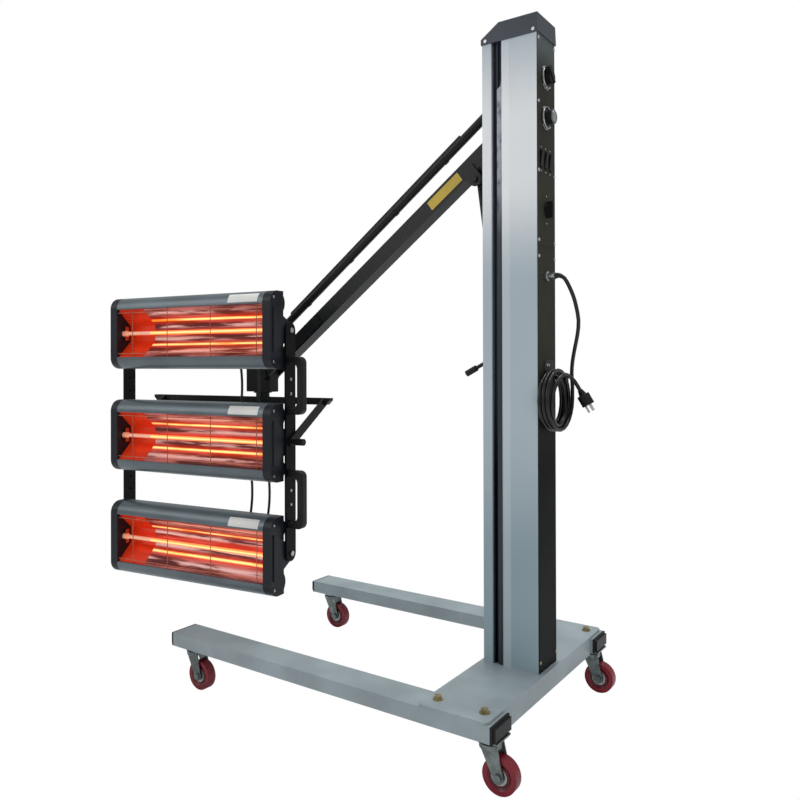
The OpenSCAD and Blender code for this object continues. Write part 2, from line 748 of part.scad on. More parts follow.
// The board behind the panel with its dial bodies and the rocker housings
module control_board() color(c_black) placed() difference() {
    union() {
        block([board_x, -board_w / 2, switch_z - board_margin], [board_x + board_t, board_w / 2, power_z + board_margin]);
        for (k = knob_at) bar_x(k[0], k[1], pot_r, board_x, col_x1);
        for (y = rocker_y) block([board_x, y - housing_w / 2, rocker_z - rocker_hole_h / 2 - housing_wall],
            [col_x1, y + housing_w / 2, rocker_z + rocker_hole_h / 2 + housing_wall]);
    }
    for (k = knob_at) bar_x(k[0], k[1], shaft_d / 2 + fit_gap, shaft_x0 - over, col_x1 + over);
    rocker_cuts(col_x1 - housing_hollow, col_x1 + over);
    for (y = rocker_y) bar_y(rocker_x, rocker_z, rocker_pin_d / 2 + fit_gap, y - housing_w / 2 - over,
        y + housing_w / 2 + over);
}

module shaft(y, z) bar_x(y, z, shaft_d / 2, shaft_x0, panel_x1 + knob_base_l);
module power_knob() color(c_black) placed() {
    x0 = panel_x1 + knob_lift;
    shaft(dial_y, power_z);
    bar_x(dial_y, power_z, knob_base_r, x0, x0 + knob_base_l);
    bar_x(dial_y, power_z, knob_r, x0, x0 + knob_l);
    translate([0, dial_y, power_z]) rotate([pointer_turn, 0, 0])
        block([x0, -pointer_w / 2, -knob_r], [x0 + knob_l + knob_base_l / 2, pointer_w / 2, pointer_l - knob_r]);
}
module timer_knob() color(c_black) placed() {
    x0 = panel_x1 + knob_lift;
    shaft(dial_y, timer_z);
    bar_x(dial_y, timer_z, knob_base_r, x0, x0 + knob_base_l);
    bar_x(dial_y, timer_z, timer_r, x0, x0 + timer_l);
}
module rocker(y) color(c_black) placed() translate([rocker_x, y, rocker_z]) rotate([0, rocker_tilt, 0]) {
    block([0, -rocker_w / 2, -rocker_h / 2], [panel_x1 + rocker_out - rocker_x, rocker_w / 2, rocker_h / 2]);
    block([-rocker_in, -rocker_w / 2, -rocker_in], [over, rocker_w / 2, rocker_in]);
    bar_y(0, 0, rocker_pin_d / 2, -housing_w / 2 + part_gap, housing_w / 2 - part_gap);
}
module rocker_1() rocker(rocker_y[0]);
module rocker_2() rocker(rocker_y[1]);
module rocker_3() rocker(rocker_y[2]);
module main_switch() color(c_black) placed() {
    x0 = panel_x1 + knob_lift;
    shaft(0, switch_z);
    bar_x(0, switch_z, switch_r, x0, x0 + switch_base_l);
    block([x0, -switch_grip_w / 2, switch_z - switch_grip_l / 2],
        [x0 + switch_grip_h, switch_grip_w / 2, switch_z + switch_grip_l / 2]);
}

// Mains cord

module cable_gland() color(c_steel) placed() {
    bar_x(gland_y, gland_z, gland_r - fit_gap, col_x1 - gland_nut_l + over, panel_x1 + gland_l);
    translate([panel_x1, gland_y, gland_z]) rotate([0, 90, 0]) cylinder(r = gland_nut_r, h = gland_nut_l, $fn = 6);
    translate([col_x1 - gland_nut_l, gland_y, gland_z]) rotate([0, 90, 0])
        cylinder(r = gland_nut_r, h = gland_nut_l, $fn = 6);
}

module cord_hook() color(c_black) placed() {
    arm_z1 = coil_z + coil_r - coil_layer - cord_d / 2 - 2 * seat_gap;
    slab_x(panel_x1, panel_x1 + hook_t) {
        flat([hook_y0, hook_z0], [hook_y1, hook_z1 - hook_dome_r]);
        flat([hook_y0 + hook_dome_r, hook_z0], [hook_y1 - hook_dome_r, hook_z1]);
        for (y = [hook_y0 + hook_dome_r, hook_y1 - hook_dome_r])
            translate([y, hook_z1 - hook_dome_r]) circle(hook_dome_r);
    }
    block([panel_x1, coil_y - hook_arm_w / 2, arm_z1 - hook_arm_t],
        [panel_x1 + hook_arm_l, coil_y + hook_arm_w / 2, arm_z1]);
    block([panel_x1 + hook_arm_l - hook_arm_t, coil_y - hook_arm_w / 2, arm_z1 - hook_tab_h],
        [panel_x1 + hook_arm_l, coil_y + hook_arm_w / 2, arm_z1]);
}

// The coil: side by side inwards on the outer radius, back out on the inner one, then a loose turn
function turn_x(t) = t < coil_back ? coil_x0 - coil_pitch * t
    : t < coil_loose ? coil_x0 - coil_pitch * (2 * coil_back - t)
    : coil_loose_x + (coil_end_x - coil_loose_x) * (t - coil_loose) / (coil_end - coil_loose);
function turn_r(t) = coil_r - coil_layer * min(1, max(0, (t - coil_climb) / (2 * (coil_back - coil_climb))));
function turn_at(t) = [turn_x(t), coil_y + turn_r(t) * cos(360 * t), coil_z - turn_r(t) * sin(360 * t)];
coil_loose_x = coil_x0 - coil_pitch * (2 * coil_back - coil_loose);
coil_turns = [for (t = [0 : coil_step : coil_end + coil_step / 2]) turn_at(t)];
coil_top = [coil_x0, coil_y + coil_r, coil_z + coil_start_l];
plug_dir = [sin(plug_tilt) * cos(plug_az), sin(plug_tilt) * sin(plug_az), cos(plug_tilt)];
plug_at = tail_route[len(tail_route) - 1] + coil_start_l * plug_dir;
coil_path = concat([coil_top, coil_top - [0, 0, coil_start_l / 2]], coil_turns, tail_route, [plug_at]);
lead_path = smooth(concat(lead_route, [coil_top + [0, 0, 2 * cord_d], coil_top + [0, 0, cord_d], coil_top]), 2);
function path_l(p) = sum_of([for (i = [1 : len(p) - 1]) norm(p[i] - p[i - 1])]);
function sum_of(v) = v * [for (i = v) 1];
coil_gap = min([for (i = [0 : len(coil_turns) - 1], j = [i + coil_turn_steps / 2 : len(coil_turns) - 1])
    norm(coil_turns[i] - coil_turns[j])]) - cord_d;
echo(least_gap_in_the_coil = coil_gap, cord_length = path_l(coil_path) + path_l(lead_path));

module cord_lead() color(c_black) placed() swept(lead_path, cord_d / 2, lead_sides, [0, 1, 0]);
module cord_coil() color(c_black) placed() swept(coil_path, cord_d / 2, coil_sides, [1, 0, 0]);
module plug() color(c_black) placed() translate(plug_at) rotate([0, plug_tilt, plug_az]) {
    face = plug_relief_l + plug_body_l;
    cylinder(r1 = plug_relief_r, r2 = plug_neck_r, h = plug_relief_l);
    translate([0, 0, plug_relief_l]) cylinder(r = plug_body_r, h = plug_body_l);
    for (k = [0 : 2]) rotate([0, 0, 120 * k]) translate([plug_pin_ring, 0, face - over])
        cylinder(r = plug_pin_d / 2, h = plug_pin_l + over);
}

// Carriage and what hangs on it

module carriage() color(c_zinc) placed() {
    for (m = [0, 1]) mirror([0, m, 0])
        block([carriage_x0, carriage_y - carriage_t, carriage_z0], [carriage_x1, carriage_y, carriage_z1]);
    block([carriage_x1 - carriage_t, -carriage_y, carriage_z0], [carriage_x1, carriage_y, carriage_z1]);
    for (p = [[pin_x, arm_z, arm_pin_d], [pin_x, arm_z + pin_rise, rod_pin_d],
        [strut_pin[0], strut_pin[1], strut_pin_d], [lever_at[0], lever_at[1], lever_d]])
        bar_y(p[0], p[1], p[2] / 2, -carriage_y + over, carriage_y - over);
}
module guide_pads() color(c_leg) placed() for (z = pad_z) {
    for (m = [0, 1]) mirror([0, m, 0]) {
        block([groove_x0, carriage_y, z], [groove_x1, carriage_y + pad_t, z + pad_l]);
        block([chamber_x0 + seat_gap, carriage_y - carriage_t, z], [carriage_x0, carriage_y, z + pad_l]);
    }
    block([carriage_x1, -pad_l / 3, z], [chamber_x1 - seat_gap, pad_l / 3, z + pad_l]);
}
module carriage_lever() color(c_black) placed() {
    reach = norm(lever_tip - lever_at);
    drop = atan2(lever_at[1] - lever_tip[1], lever_at[0] - lever_tip[0]);
    translate([lever_at[0], lever_y, lever_at[1]]) rotate([0, -drop, 0]) difference() {
        union() {
            bar_y(0, 0, lever_eye_r, -lever_w / 2, lever_w / 2);
            bar_x(0, 0, lever_d / 2, -reach + over, 0);
            bar_x(0, 0, lever_grip_d / 2, -reach, -reach + lever_grip_l);
        }
        bar_y(0, 0, lever_d / 2 + fit_gap, -lever_w / 2 - over, lever_w / 2 + over);
    }
}

module arm_side_plate() difference() {
    union() {
        flat([-arm_l, -arm_plate_h / 2], [-arm_l + arm_plate_l, arm_plate_h / 2]);
        translate([-arm_l, 0]) circle(arm_plate_h / 2 + part_gap);
    }
    translate([-arm_l, 0]) circle(arm_pin_d / 2 + fit_gap);
}
module ear_outline() {
    translate(ear_at) circle(ear_r);
    flat([ear_at[0] - ear_r, ear_at[1]], [ear_at[0] + ear_r, 0]);
}
// Where the side plates and ears are welded on, over the tube only
module weld_outline() {
    flat([-arm_tube_end, -arm_plate_h / 2], [-arm_l + arm_plate_l, arm_plate_h / 2]);
    flat([ear_at[0] - ear_r, -arm_w / 2], [ear_at[0] + ear_r, 0]);
}
module lower_arm() color(c_black) placed() on_arm() {
    difference() {
        union() {
            block([-arm_tube_end, -arm_w / 2, -arm_w / 2], [0, arm_w / 2, arm_w / 2]);
            bar_y(0, 0, arm_eye_r, -arm_w / 2, arm_w / 2);
        }
        block([-arm_tube_end - over, -arm_w / 2 + arm_wall, -arm_w / 2 + arm_wall],
            [-arm_w, arm_w / 2 - arm_wall, arm_w / 2 - arm_wall]);
        bar_y(0, 0, arm_pin_d / 2 + fit_gap, -arm_w / 2 - over, arm_w / 2 + over);
    }
    for (m = [0, 1]) mirror([0, m, 0]) {
        slab_y(arm_w / 2, arm_w / 2 + arm_plate_t) arm_side_plate();
        slab_y(arm_w / 2, arm_w / 2 + ear_t) ear_outline();
        slab_y(arm_w / 2 - over, arm_w / 2 + over) weld_outline();
        bar_y(ear_at[0], ear_at[1], ear_bolt_head_r, arm_w / 2, arm_w / 2 + ear_t + ear_bolt_head_h);
    }
    bar_y(ear_at[0], ear_at[1], ear_bolt_d / 2, -arm_w / 2 - ear_t - over, arm_w / 2 + ear_t + over);
}

module upper_rod() color(c_black) placed() on_rod() {
    difference() {
        union() {
            bar_x(0, 0, rod_d / 2, -arm_l, 0);
            for (x = [0, -arm_l]) bar_y(x, 0, rod_eye_r, -rod_eye_w / 2, rod_eye_w / 2);
        }
        for (x = [0, -arm_l]) bar_y(x, 0, rod_pin_d / 2 + fit_gap, -rod_d, rod_d);
    }
    bar_x(0, rod_d / 2 + rod_cable_d / 2 - over, rod_cable_d / 2, -arm_l + rod_cable_inset, -rod_cable_inset);
    for (k = clip_shares) bar_x(0, 0, rod_d / 2 + clip_t, -k * arm_l - clip_w / 2, -k * arm_l + clip_w / 2);
}

// The gas strut, drawn downwards from the bolt in the arm's ears
module on_strut() translate([strut_top[0], 0, strut_top[1]]) rotate([0, strut_lean, 0]) children();
module strut_cylinder() color(c_black) placed() on_strut() difference() {
    union() {
        bar_y(0, 0, strut_eye_r, -strut_eye_w / 2, strut_eye_w / 2);
        bar_z(0, 0, strut_d / 2, -strut_cyl_l, 0);
    }
    bar_y(0, 0, ear_bolt_d / 2 + fit_gap, -strut_d, strut_d);
    bar_z(0, 0, piston_r + seat_gap, -strut_cyl_l + strut_cyl_neck, -strut_eye_r - strut_cyl_neck);
    bar_z(0, 0, strut_rod_d / 2 + fit_gap, -strut_cyl_l - over, -strut_cyl_l + strut_cyl_neck + over);
}
module strut_rod() color(c_steel) placed() on_strut() {
    eye_in = strut_pin_d / 2 + strut_end_play;
    difference() {
        union() {
            bar_y(0, -strut_l, eye_in + strut_end_wall, -strut_eye_w / 2, strut_eye_w / 2);
            bar_z(0, 0, strut_rod_d / 2, -strut_l, -strut_cyl_l + strut_rod_in);
        }
        bar_y(0, -strut_l, eye_in, -strut_eye_w, strut_eye_w);
    }
    bar_z(0, 0, piston_r, -strut_cyl_l + strut_rod_in - strut_rod_d, -strut_cyl_l + strut_rod_in);
}

module knuckle() color(c_black) placed() {
    difference() {
        union() {
            slab_y(-knuckle_w / 2, knuckle_w / 2) flat([knuckle_x0, knuckle_z0], [knuckle_x1, knuckle_z1]);
            slab_y(-knuckle_w / 2, knuckle_w / 2) {
                flat([knuckle_tower_x0, knuckle_z0], [knuckle_x1, top_pin_z]);
                translate([head_pin_x, top_pin_z]) circle(knuckle_top_r);
            }
        }
        block([knuckle_tower_x0 - over, -knuckle_w / 2 + knuckle_cheek_t, knuckle_z1],
            [knuckle_x1 + over, knuckle_w / 2 - knuckle_cheek_t, top_pin_z + knuckle_top_r + over]);
        bar_z(swivel_x, 0, swivel_pin_d / 2 + fit_gap, knuckle_z0 - over, knuckle_z0 + swivel_pin_l + over);
    }
    bar_y(head_pin_x, top_pin_z, rod_pin_d / 2, -knuckle_w / 2, knuckle_w / 2);
    bar_y(head_pin_x, head_pin_z, arm_pin_d / 2, -head_pin_y, head_pin_y);
    for (m = [0, 1]) mirror([0, m, 0]) {
        bar_y(head_pin_x, head_pin_z, arm_pin_d - over, head_pin_y, head_pin_y + head_pin_over);
        bar_y(head_pin_x, head_pin_z, arm_pin_d - over, knuckle_w / 2 - over, arm_w / 2 - seat_gap);
        bar_y(head_pin_x, top_pin_z, rod_pin_d - over, knuckle_w / 2, knuckle_w / 2 + head_pin_over / 2);
    }
}

// Head frame

module brace_outline() {
    low = [head_pivot_y, mid_pivot_z];
    high = [head_y, bar_z0 + bar_w / 2];
    across = brace_h / 2 * unit([low[1] - high[1], high[0] - low[0]]);
    difference() {
        union() {
            polygon([low + across, low - across, high - across, high + across]);
            translate(low) circle(brace_h / 2);
        }
        translate(low) circle(bolt_d / 2 + fit_gap);
    }
}
module yoke() color(c_black) placed() {
    on_head() {
        slab_y(head_y - bar_w / 2, head_y + bar_w / 2) polygon([[bar_x0, bar_z1], [bar_x0, bar_z0 + bar_chamfer],
            [bar_x0 + bar_chamfer, bar_z0], [bar_x1 - bar_chamfer, bar_z0], [bar_x1, bar_z0 + bar_chamfer],
            [bar_x1, bar_z1]]);
        slab_x(brace_x0, brace_x1) brace_outline();
        slab_x(-brace_x1, -brace_x0) brace_outline();
    }
    bar_z(swivel_x, 0, swivel_boss_r, bar_z1 - over, knuckle_z0 - seat_gap);
    bar_z(swivel_x, 0, swivel_washer_r, knuckle_z0 - seat_gap - swivel_washer_t, knuckle_z0 - seat_gap);
    bar_z(swivel_x, 0, swivel_pin_d / 2, bar_z1, knuckle_z0 + swivel_pin_l);
}

module rail_outline() difference() {
    union() {
        flat([head_pivot_y - rail_d / 2, cassette_z[2]], [head_pivot_y + rail_d / 2, cassette_z[0]]);
        for (z = [cassette_z[0], cassette_z[2]]) translate([head_pivot_y, z]) circle(rail_d / 2);
    }
    for (z = cassette_z) translate([head_pivot_y, z]) circle(bolt_d / 2 + fit_gap);
    for (k = rail_hole_shares) translate([head_pivot_y, mid_pivot_z + k * rail_span]) circle(rail_hole_d / 2);
}
module rails() color(c_black) placed() on_head() {
    slab_x(rail_x0, rail_x1) rail_outline();
    slab_x(-rail_x1, -rail_x0) rail_outline();
}

module handle_outline(x0, x1, half, r) {
    flat([x0, -half], [x1 - r, half]);
    flat([x0, -half + r], [x1, half - r]);
    for (s = [-1, 1]) translate([x1 - r, s * (half - r)]) circle(r);
}
module grab_handles() color(c_black) placed() on_head() for (k = handle_shares)
    translate([0, 0, mid_pivot_z + k * rail_span]) slab_y(handle_y - handle_w / 2, handle_y + handle_w / 2)
        difference() {
            handle_outline(rail_x1, rail_x1 + grip_reach, handle_h / 2, handle_r);
            handle_outline(rail_x1 - over, rail_x1 + grip_reach - grip_t, handle_h / 2 - grip_t, handle_r - over);
        }

module pivot_bolt(z, x1, with_head) {
    nut_x = cassette_l / 2 - over - seat_gap;
    bar_x(head_pivot_y, z, bolt_d / 2, nut_x - bolt_nut_l, x1);
    bar_x(head_pivot_y, z, bolt_head_r, nut_x - bolt_nut_l, nut_x);
    if (with_head) bar_x(head_pivot_y, z, bolt_head_r, x1, x1 + bolt_head_h);
}
module pivot_bolts() color(c_steel) placed() on_head() {
    for (m = [0, 1], z = [cassette_z[0], cassette_z[2]]) mirror([m, 0, 0]) pivot_bolt(z, rail_x1, true);
    pivot_bolt(mid_pivot_z, brace_x1 + tilt_knob_l - over, false);
    mirror([1, 0, 0]) pivot_bolt(mid_pivot_z, brace_x1 + seat_gap, true);
}
module tilt_knob() color(c_black) placed() on_head() difference() {
    x0 = brace_x1 + seat_gap;
    union() {
        bar_x(head_pivot_y, mid_pivot_z, tilt_boss_r, x0, x0 + tilt_knob_l);
        bar_x(head_pivot_y, mid_pivot_z, tilt_knob_r, x0 + tilt_knob_l / 3, x0 + tilt_knob_l + tilt_boss_r);
    }
    bar_x(head_pivot_y, mid_pivot_z, bolt_d / 2 + fit_gap, x0 - over, x0 + tilt_knob_l);
}

// One lamp lead from the socket of a cassette down to the next, clear of the cassettes as they tilt
function lead_points(x, z0, z1) = [for (k = lead_shares)
    [x + k[1] * lead_bow, lead_y0 + k[2] * lead_reach, z0 + k[0] * (z1 - z0)]];
module head_leads() color(c_black) placed() on_head() for (g = [0, 1], x = lead_x[g])
    swept(smooth(lead_points(x, cassette_z[g], cassette_z[g + 1]), 1), lead_d / 2, coil_sides + 2, [1, 0, 0]);

// Cassettes, drawn about their tilt axis

module cassette_outline() {
    flat([front_y + band_r, -cassette_h / 2], [back_y, cassette_h / 2]);
    flat([front_y, -cassette_h / 2 + band_r], [back_y, cassette_h / 2 - band_r]);
    for (s = [-1, 1]) translate([front_y + band_r, s * (cassette_h / 2 - band_r)]) circle(band_r);
}
// The hollow of the upper band
module band_pocket() intersection() {
    union() {
        translate([front_y + band_r, cassette_h / 2 - band_r]) circle(band_r - shell_wall);
        flat([front_y + band_r, 0], [back_y - shell_wall, cassette_h / 2 - shell_wall]);
    }
    flat([front_y, open_h / 2 + shell_wall], [back_y, cassette_h / 2]);
}
module shell(k) color(c_shell) placed() on_head() translate([0, 0, cassette_z[k]]) {
    slab_x(-shell_x, shell_x) difference() {
        cassette_outline();
        flat([front_y - over, -open_h / 2], [back_y - back_wall, open_h / 2]);
        band_pocket();
        mirror([0, 1]) band_pocket();
    }
    for (x = socket_x[k]) {
        bar_y(x, 0, socket_r, back_y - over, head_pivot_y);
        translate([x, head_pivot_y, 0]) sphere(socket_r);
    }
}
module shell_1() shell(0);
module shell_2() shell(1);
module shell_3() shell(2);

module end_cap(k) {
    slab_x(shell_x, cassette_l / 2) cassette_outline();
    slab_x(cassette_l / 2 - over, cassette_l / 2 + ear_plate_t) difference() {
        polygon([[front_y + band_r / 3, ear_plate_h / 2], [front_y + band_r / 3, -ear_plate_h / 2],
            [head_pivot_y + ear_plate_reach, -ear_plate_tip / 2], [head_pivot_y + ear_plate_reach, ear_plate_tip / 2]]);
        translate([head_pivot_y, 0]) circle(bolt_d / 2 + fit_gap);
    }
}
module end_caps(k) color(c_shell) placed() on_head() translate([0, 0, cassette_z[k]])
    for (m = [0, 1]) mirror([m, 0, 0]) end_cap(k);
module end_caps_1() end_caps(0);
module end_caps_2() end_caps(1);
module end_caps_3() end_caps(2);

module trough(t) polygon([[front_y + reflector_front - t, open_h / 2 - seat_gap - t],
    [trough_back - t, reflector_floor - t], [trough_back - t, -reflector_floor + t],
    [front_y + reflector_front - t, -open_h / 2 + seat_gap + t]]);
module reflector(k) color(c_copper) placed() on_head() translate([0, 0, cassette_z[k]])
    slab_x(-shell_x + seat_gap, shell_x - seat_gap) difference() {
        trough(0);
        trough(reflector_t);
    }
module reflector_1() reflector(0);
module reflector_2() reflector(1);
module reflector_3() reflector(2);

module lamp(k) color(c_glass) placed() on_head() translate([0, 0, cassette_z[k]]) {
    bar_x(lamp_y, 0, lamp_d / 2, -shell_x + over, shell_x - over);
    for (m = [0, 1]) mirror([m, 0, 0]) bar_x(lamp_y, 0, ceramic_r, shell_x - ceramic_l, shell_x);
}
module lamp_1() lamp(0);
module lamp_2() lamp(1);
module lamp_3() lamp(2);

module guard(k) color(c_steel) placed() on_head() translate([0, 0, cassette_z[k]]) {
    for (s = [-1, 1]) bar_x(front_y + wire_front, s * (open_h / 2 - wire_inset), wire_d / 2, -shell_x, shell_x);
    for (p = wire_shares) bar_z(p * shell_x, front_y + wire_front + wire_d + fit_gap, wire_d / 2,
        -open_h / 2, open_h / 2);
}
module guard_1() guard(0);
module guard_2() guard(1);
module guard_3() guard(2);

caster_plates();
fork_1();
fork_2();
fork_3();
fork_4();
wheel_1();
wheel_2();
wheel_3();
wheel_4();
legs();
leg_plugs();
base_plate();
frame_fasteners();
column();
groove_trims();
top_cap();
control_panel();
lower_cover();
cord_hook();
cable_gland();
dial_rings();
control_board();
power_knob();
timer_knob();
rocker_1();
rocker_2();
rocker_3();
main_switch();
cord_lead();
cord_coil();
plug();
carriage();
guide_pads();
carriage_lever();
lower_arm();
upper_rod();
strut_cylinder();
strut_rod();
knuckle();
yoke();
rails();
grab_handles();
pivot_bolts();
tilt_knob();
head_leads();
shell_1();
shell_2();
shell_3();
end_caps_1();
end_caps_2();
end_caps_3();
reflector_1();
reflector_2();
reflector_3();
lamp_1();
lamp_2();
lamp_3();
guard_1();
guard_2();
guard_3();
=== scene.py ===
# %% [markdown]
# # Infrared curing lamp
#
# A workshop lamp that dries paint with heat. Three glowing cassettes hang on a turned frame, a parallelogram arm
# with a gas strut carries the frame, and a slotted column on a wheeled base carries the arm. The solid model is
# loaded first and stays where it is. Each cell after that adds one piece, or one finish.

# %% Load the frame
import json
from math import atan2, cos, degrees, hypot, pi, radians, sin
import bpy
import bmesh
from mathutils import Matrix, Vector


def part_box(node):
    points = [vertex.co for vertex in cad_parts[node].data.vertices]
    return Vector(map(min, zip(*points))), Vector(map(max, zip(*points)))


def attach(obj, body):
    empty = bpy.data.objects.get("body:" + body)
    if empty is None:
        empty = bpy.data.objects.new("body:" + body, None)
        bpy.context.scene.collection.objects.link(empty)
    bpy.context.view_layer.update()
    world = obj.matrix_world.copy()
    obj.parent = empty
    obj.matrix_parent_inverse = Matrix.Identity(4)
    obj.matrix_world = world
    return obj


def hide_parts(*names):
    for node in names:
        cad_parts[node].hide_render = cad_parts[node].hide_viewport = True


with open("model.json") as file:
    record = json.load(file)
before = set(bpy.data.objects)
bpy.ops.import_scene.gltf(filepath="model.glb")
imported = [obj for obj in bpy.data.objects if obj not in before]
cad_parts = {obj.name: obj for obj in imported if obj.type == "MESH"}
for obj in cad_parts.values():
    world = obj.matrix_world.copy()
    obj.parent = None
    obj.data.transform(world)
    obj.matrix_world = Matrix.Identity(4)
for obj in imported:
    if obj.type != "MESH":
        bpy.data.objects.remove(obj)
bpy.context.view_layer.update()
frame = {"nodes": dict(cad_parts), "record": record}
nodes = frame["nodes"]
mm = 0.001

# %% [markdown]
# The solid model was drawn from a zero on the floor below the base plate, and then centred. The column's low side
# is 161.8 mm from that zero, so one box gives the shift. The head has its own zero and is turned a little, so it
# gets a matrix: a place on the head is written as if the head were straight.

# %% Places in the drawing and on the head
column_x0, groove_inset, groove_w = -161.8, 23.3, 26.8
zero_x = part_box("column")[0][0] - column_x0 * mm
head_turn = radians(7.2)
swivel = Vector((zero_x - 923.88 * mm, 0, 0))
head_offset = Vector((-81 * mm, 10 * mm, 0))
mid_pivot_z = 640.86
rail_span = 590.4
cassette_z = [mid_pivot_z + rail_span / 2, mid_pivot_z, mid_pivot_z - rail_span / 2]
on_head = Matrix.Translation(swivel) @ Matrix.Rotation(head_turn, 4, "Z") @ Matrix.Translation(head_offset)
drawn = Matrix.Translation((zero_x, 0, 0))


def at(x, y, z, on=drawn):
    """A place of the drawing, in millimetres, as a point of the frame, in metres."""
    return on @ Vector((x * mm, y * mm, z * mm))


top_axis = at(0, -170, cassette_z[0], on_head)
print("zero at", round(zero_x, 4), "top cassette's axis at", [round(v, 3) for v in top_axis])

# %% [markdown]
# The photograph was taken with a short lens from the lamps' near corner, at the height of the head. The lens, the
# shift and the place come from the straight edges of the base, column and head, which meet in three vanishing points.

# %% Camera
camera_data = bpy.data.cameras.new("camera")
camera = bpy.data.objects.new("camera", camera_data)
bpy.context.scene.collection.objects.link(camera)
bpy.context.scene.camera = camera
camera_place = Vector((1.3338, -1.6294, 0.850))
camera_data.lens = 34.14
camera_data.sensor_width = 36
camera_data.shift_y = -0.0499
camera_data.clip_start = 0.05
view_turn, view_pitch, view_roll = radians(34.295), radians(0.178), radians(-0.161)
forward = Vector((-sin(view_turn) * cos(view_pitch), cos(view_turn) * cos(view_pitch), sin(view_pitch)))
camera.matrix_world = (Matrix.Translation(camera_place)
    @ forward.to_track_quat("-Z", "Y").to_matrix().to_4x4() @ Matrix.Rotation(view_roll, 4, "Z"))
print("lens", round(camera_data.lens, 2), "mm")

# %% [markdown]
# A mains lead is a smooth, heavy rubber cord. It leaves the gland, drops in a loose bow, and is wound on its hook in
# turns that lie beside and on each other. A curve with a round bevel is the plain way to make it, because its own
# line is the cord's centreline and its length can be measured. It is then turned into a mesh, so that its box is
# that of its skin. The route's points are those of the solid coil, so the cord lies where the solid lies.

# %% The cord's route
def smooth_line(points, count):
    """A Catmull-Rom line through the points, with count steps from one to the next."""
    line = []
    for i in range(len(points) - 1):
        a, b, c, d = (Vector(points[min(max(j, 0), len(points) - 1)]) for j in (i - 1, i, i + 1, i + 2))
        for k in range(count):
            t = k / count
            line.append((b * 2 + (c - a) * t + (a * 2 - b * 5 + c * 4 - d) * t ** 2
                + (b * 3 - a - c * 3 + d) * t ** 3) / 2)
    return line + [Vector(points[-1])]


smooth_angle = radians(32)
cord_d, coil_r, coil_pitch, coil_layer = 9, 68, 9.5, 9.8
coil_y, coil_z, coil_x0, coil_end_x = 4, 763, 10, 21
coil_climb, coil_back, coil_loose, coil_end = 2.5, 2.75, 4, 4.75
loose_x = coil_x0 - coil_pitch * (2 * coil_back - coil_loose)


def turn_at(t):
    """A place on the coil, t turns from its top: inwards side by side, then back out on a smaller radius."""
    if t < coil_back:
        x = coil_x0 - coil_pitch * t
    elif t < coil_loose:
        x = coil_x0 - coil_pitch * (2 * coil_back - t)
    else:
        x = loose_x + (coil_end_x - loose_x) * (t - coil_loose) / (coil_end - coil_loose)
    r = coil_r - coil_layer * min(1, max(0, (t - coil_climb) / (2 * (coil_back - coil_climb))))
    return x, coil_y + r * cos(2 * pi * t), coil_z - r * sin(2 * pi * t)


steps_per_turn = 24
coil_top = (coil_x0, coil_y + coil_r, coil_z + 12)
lead_route = [(2, -8, 1046), (7, -8, 1046), (12, -8, 1046), (23, -6, 1039), (31, 0, 1022), (37, 10, 1000),
    (40, 20, 977), (41, 32, 945), (34, 44, 915), (24, 54, 885), (15, 62, 855), (10, 68, 825),
    (coil_x0, coil_top[1], coil_top[2] + 18), (coil_x0, coil_top[1], coil_top[2] + 9), coil_top]
tail_route = [(22, 13, 820), (23, 21, 817), (26, 29, 812), (30, 34, 806), (35, 38, 796)]
plug_tilt, plug_side = radians(150), radians(13)
plug_dir = Vector((sin(plug_tilt) * cos(plug_side), sin(plug_tilt) * sin(plug_side), cos(plug_tilt)))
plug_at = Vector(tail_route[-1]) + 12 * plug_dir
coil_turns = [turn_at(k / steps_per_turn) for k in range(round(coil_end * steps_per_turn) + 1)]
cord_line = (smooth_line(lead_route, 2) + [Vector((coil_x0, coil_top[1], coil_top[2] - 6))]
    + [Vector(p) for p in coil_turns] + [Vector(p) for p in tail_route] + [plug_at])
cord_line = [at(*p) for p in cord_line]
cord_length = sum((b - a).length for a, b in zip(cord_line, cord_line[1:]))
print("cord", len(cord_line), "points,", round(cord_length, 3), "m")

# %% The cord
def only(piece):
    """Select one piece alone and make it the active one."""
    bpy.ops.object.select_all(action="DESELECT")
    bpy.context.view_layer.objects.active = piece
    piece.select_set(True)


def round_line(name, points, width, sides=5):
    """A curve through the points with a round section of that width."""
    line = bpy.data.curves.new(name, "CURVE")
    line.dimensions = "3D"
    line.bevel_depth = width / 2
    line.bevel_resolution = sides
    line.use_fill_caps = True
    spline = line.splines.new("POLY")
    spline.points.add(len(points) - 1)
    for place, point in zip(spline.points, points):
        place.co = (*point, 1)
    spline.use_smooth = True
    piece = bpy.data.objects.new(name, line)
    bpy.context.scene.collection.objects.link(piece)
    return piece


mains_cord = round_line("mains_cord", cord_line, cord_d * mm)
only(mains_cord)
bpy.ops.object.convert(target="MESH")
bpy.ops.object.shade_smooth_by_angle(angle=smooth_angle)
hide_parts("cord_lead", "cord_coil")
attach(mains_cord, "base")
print("least height", round(min(p.z for p in cord_line), 3), "m")

# %% [markdown]
# Every finish is a small sum of noises and masks. Written as node after node, such a sum is hard to read, so one
# class wraps a node's socket: adding or multiplying two of them adds the Math node, and the Python line reads as
# the formula does. Numbers and sockets can be mixed, in either order.

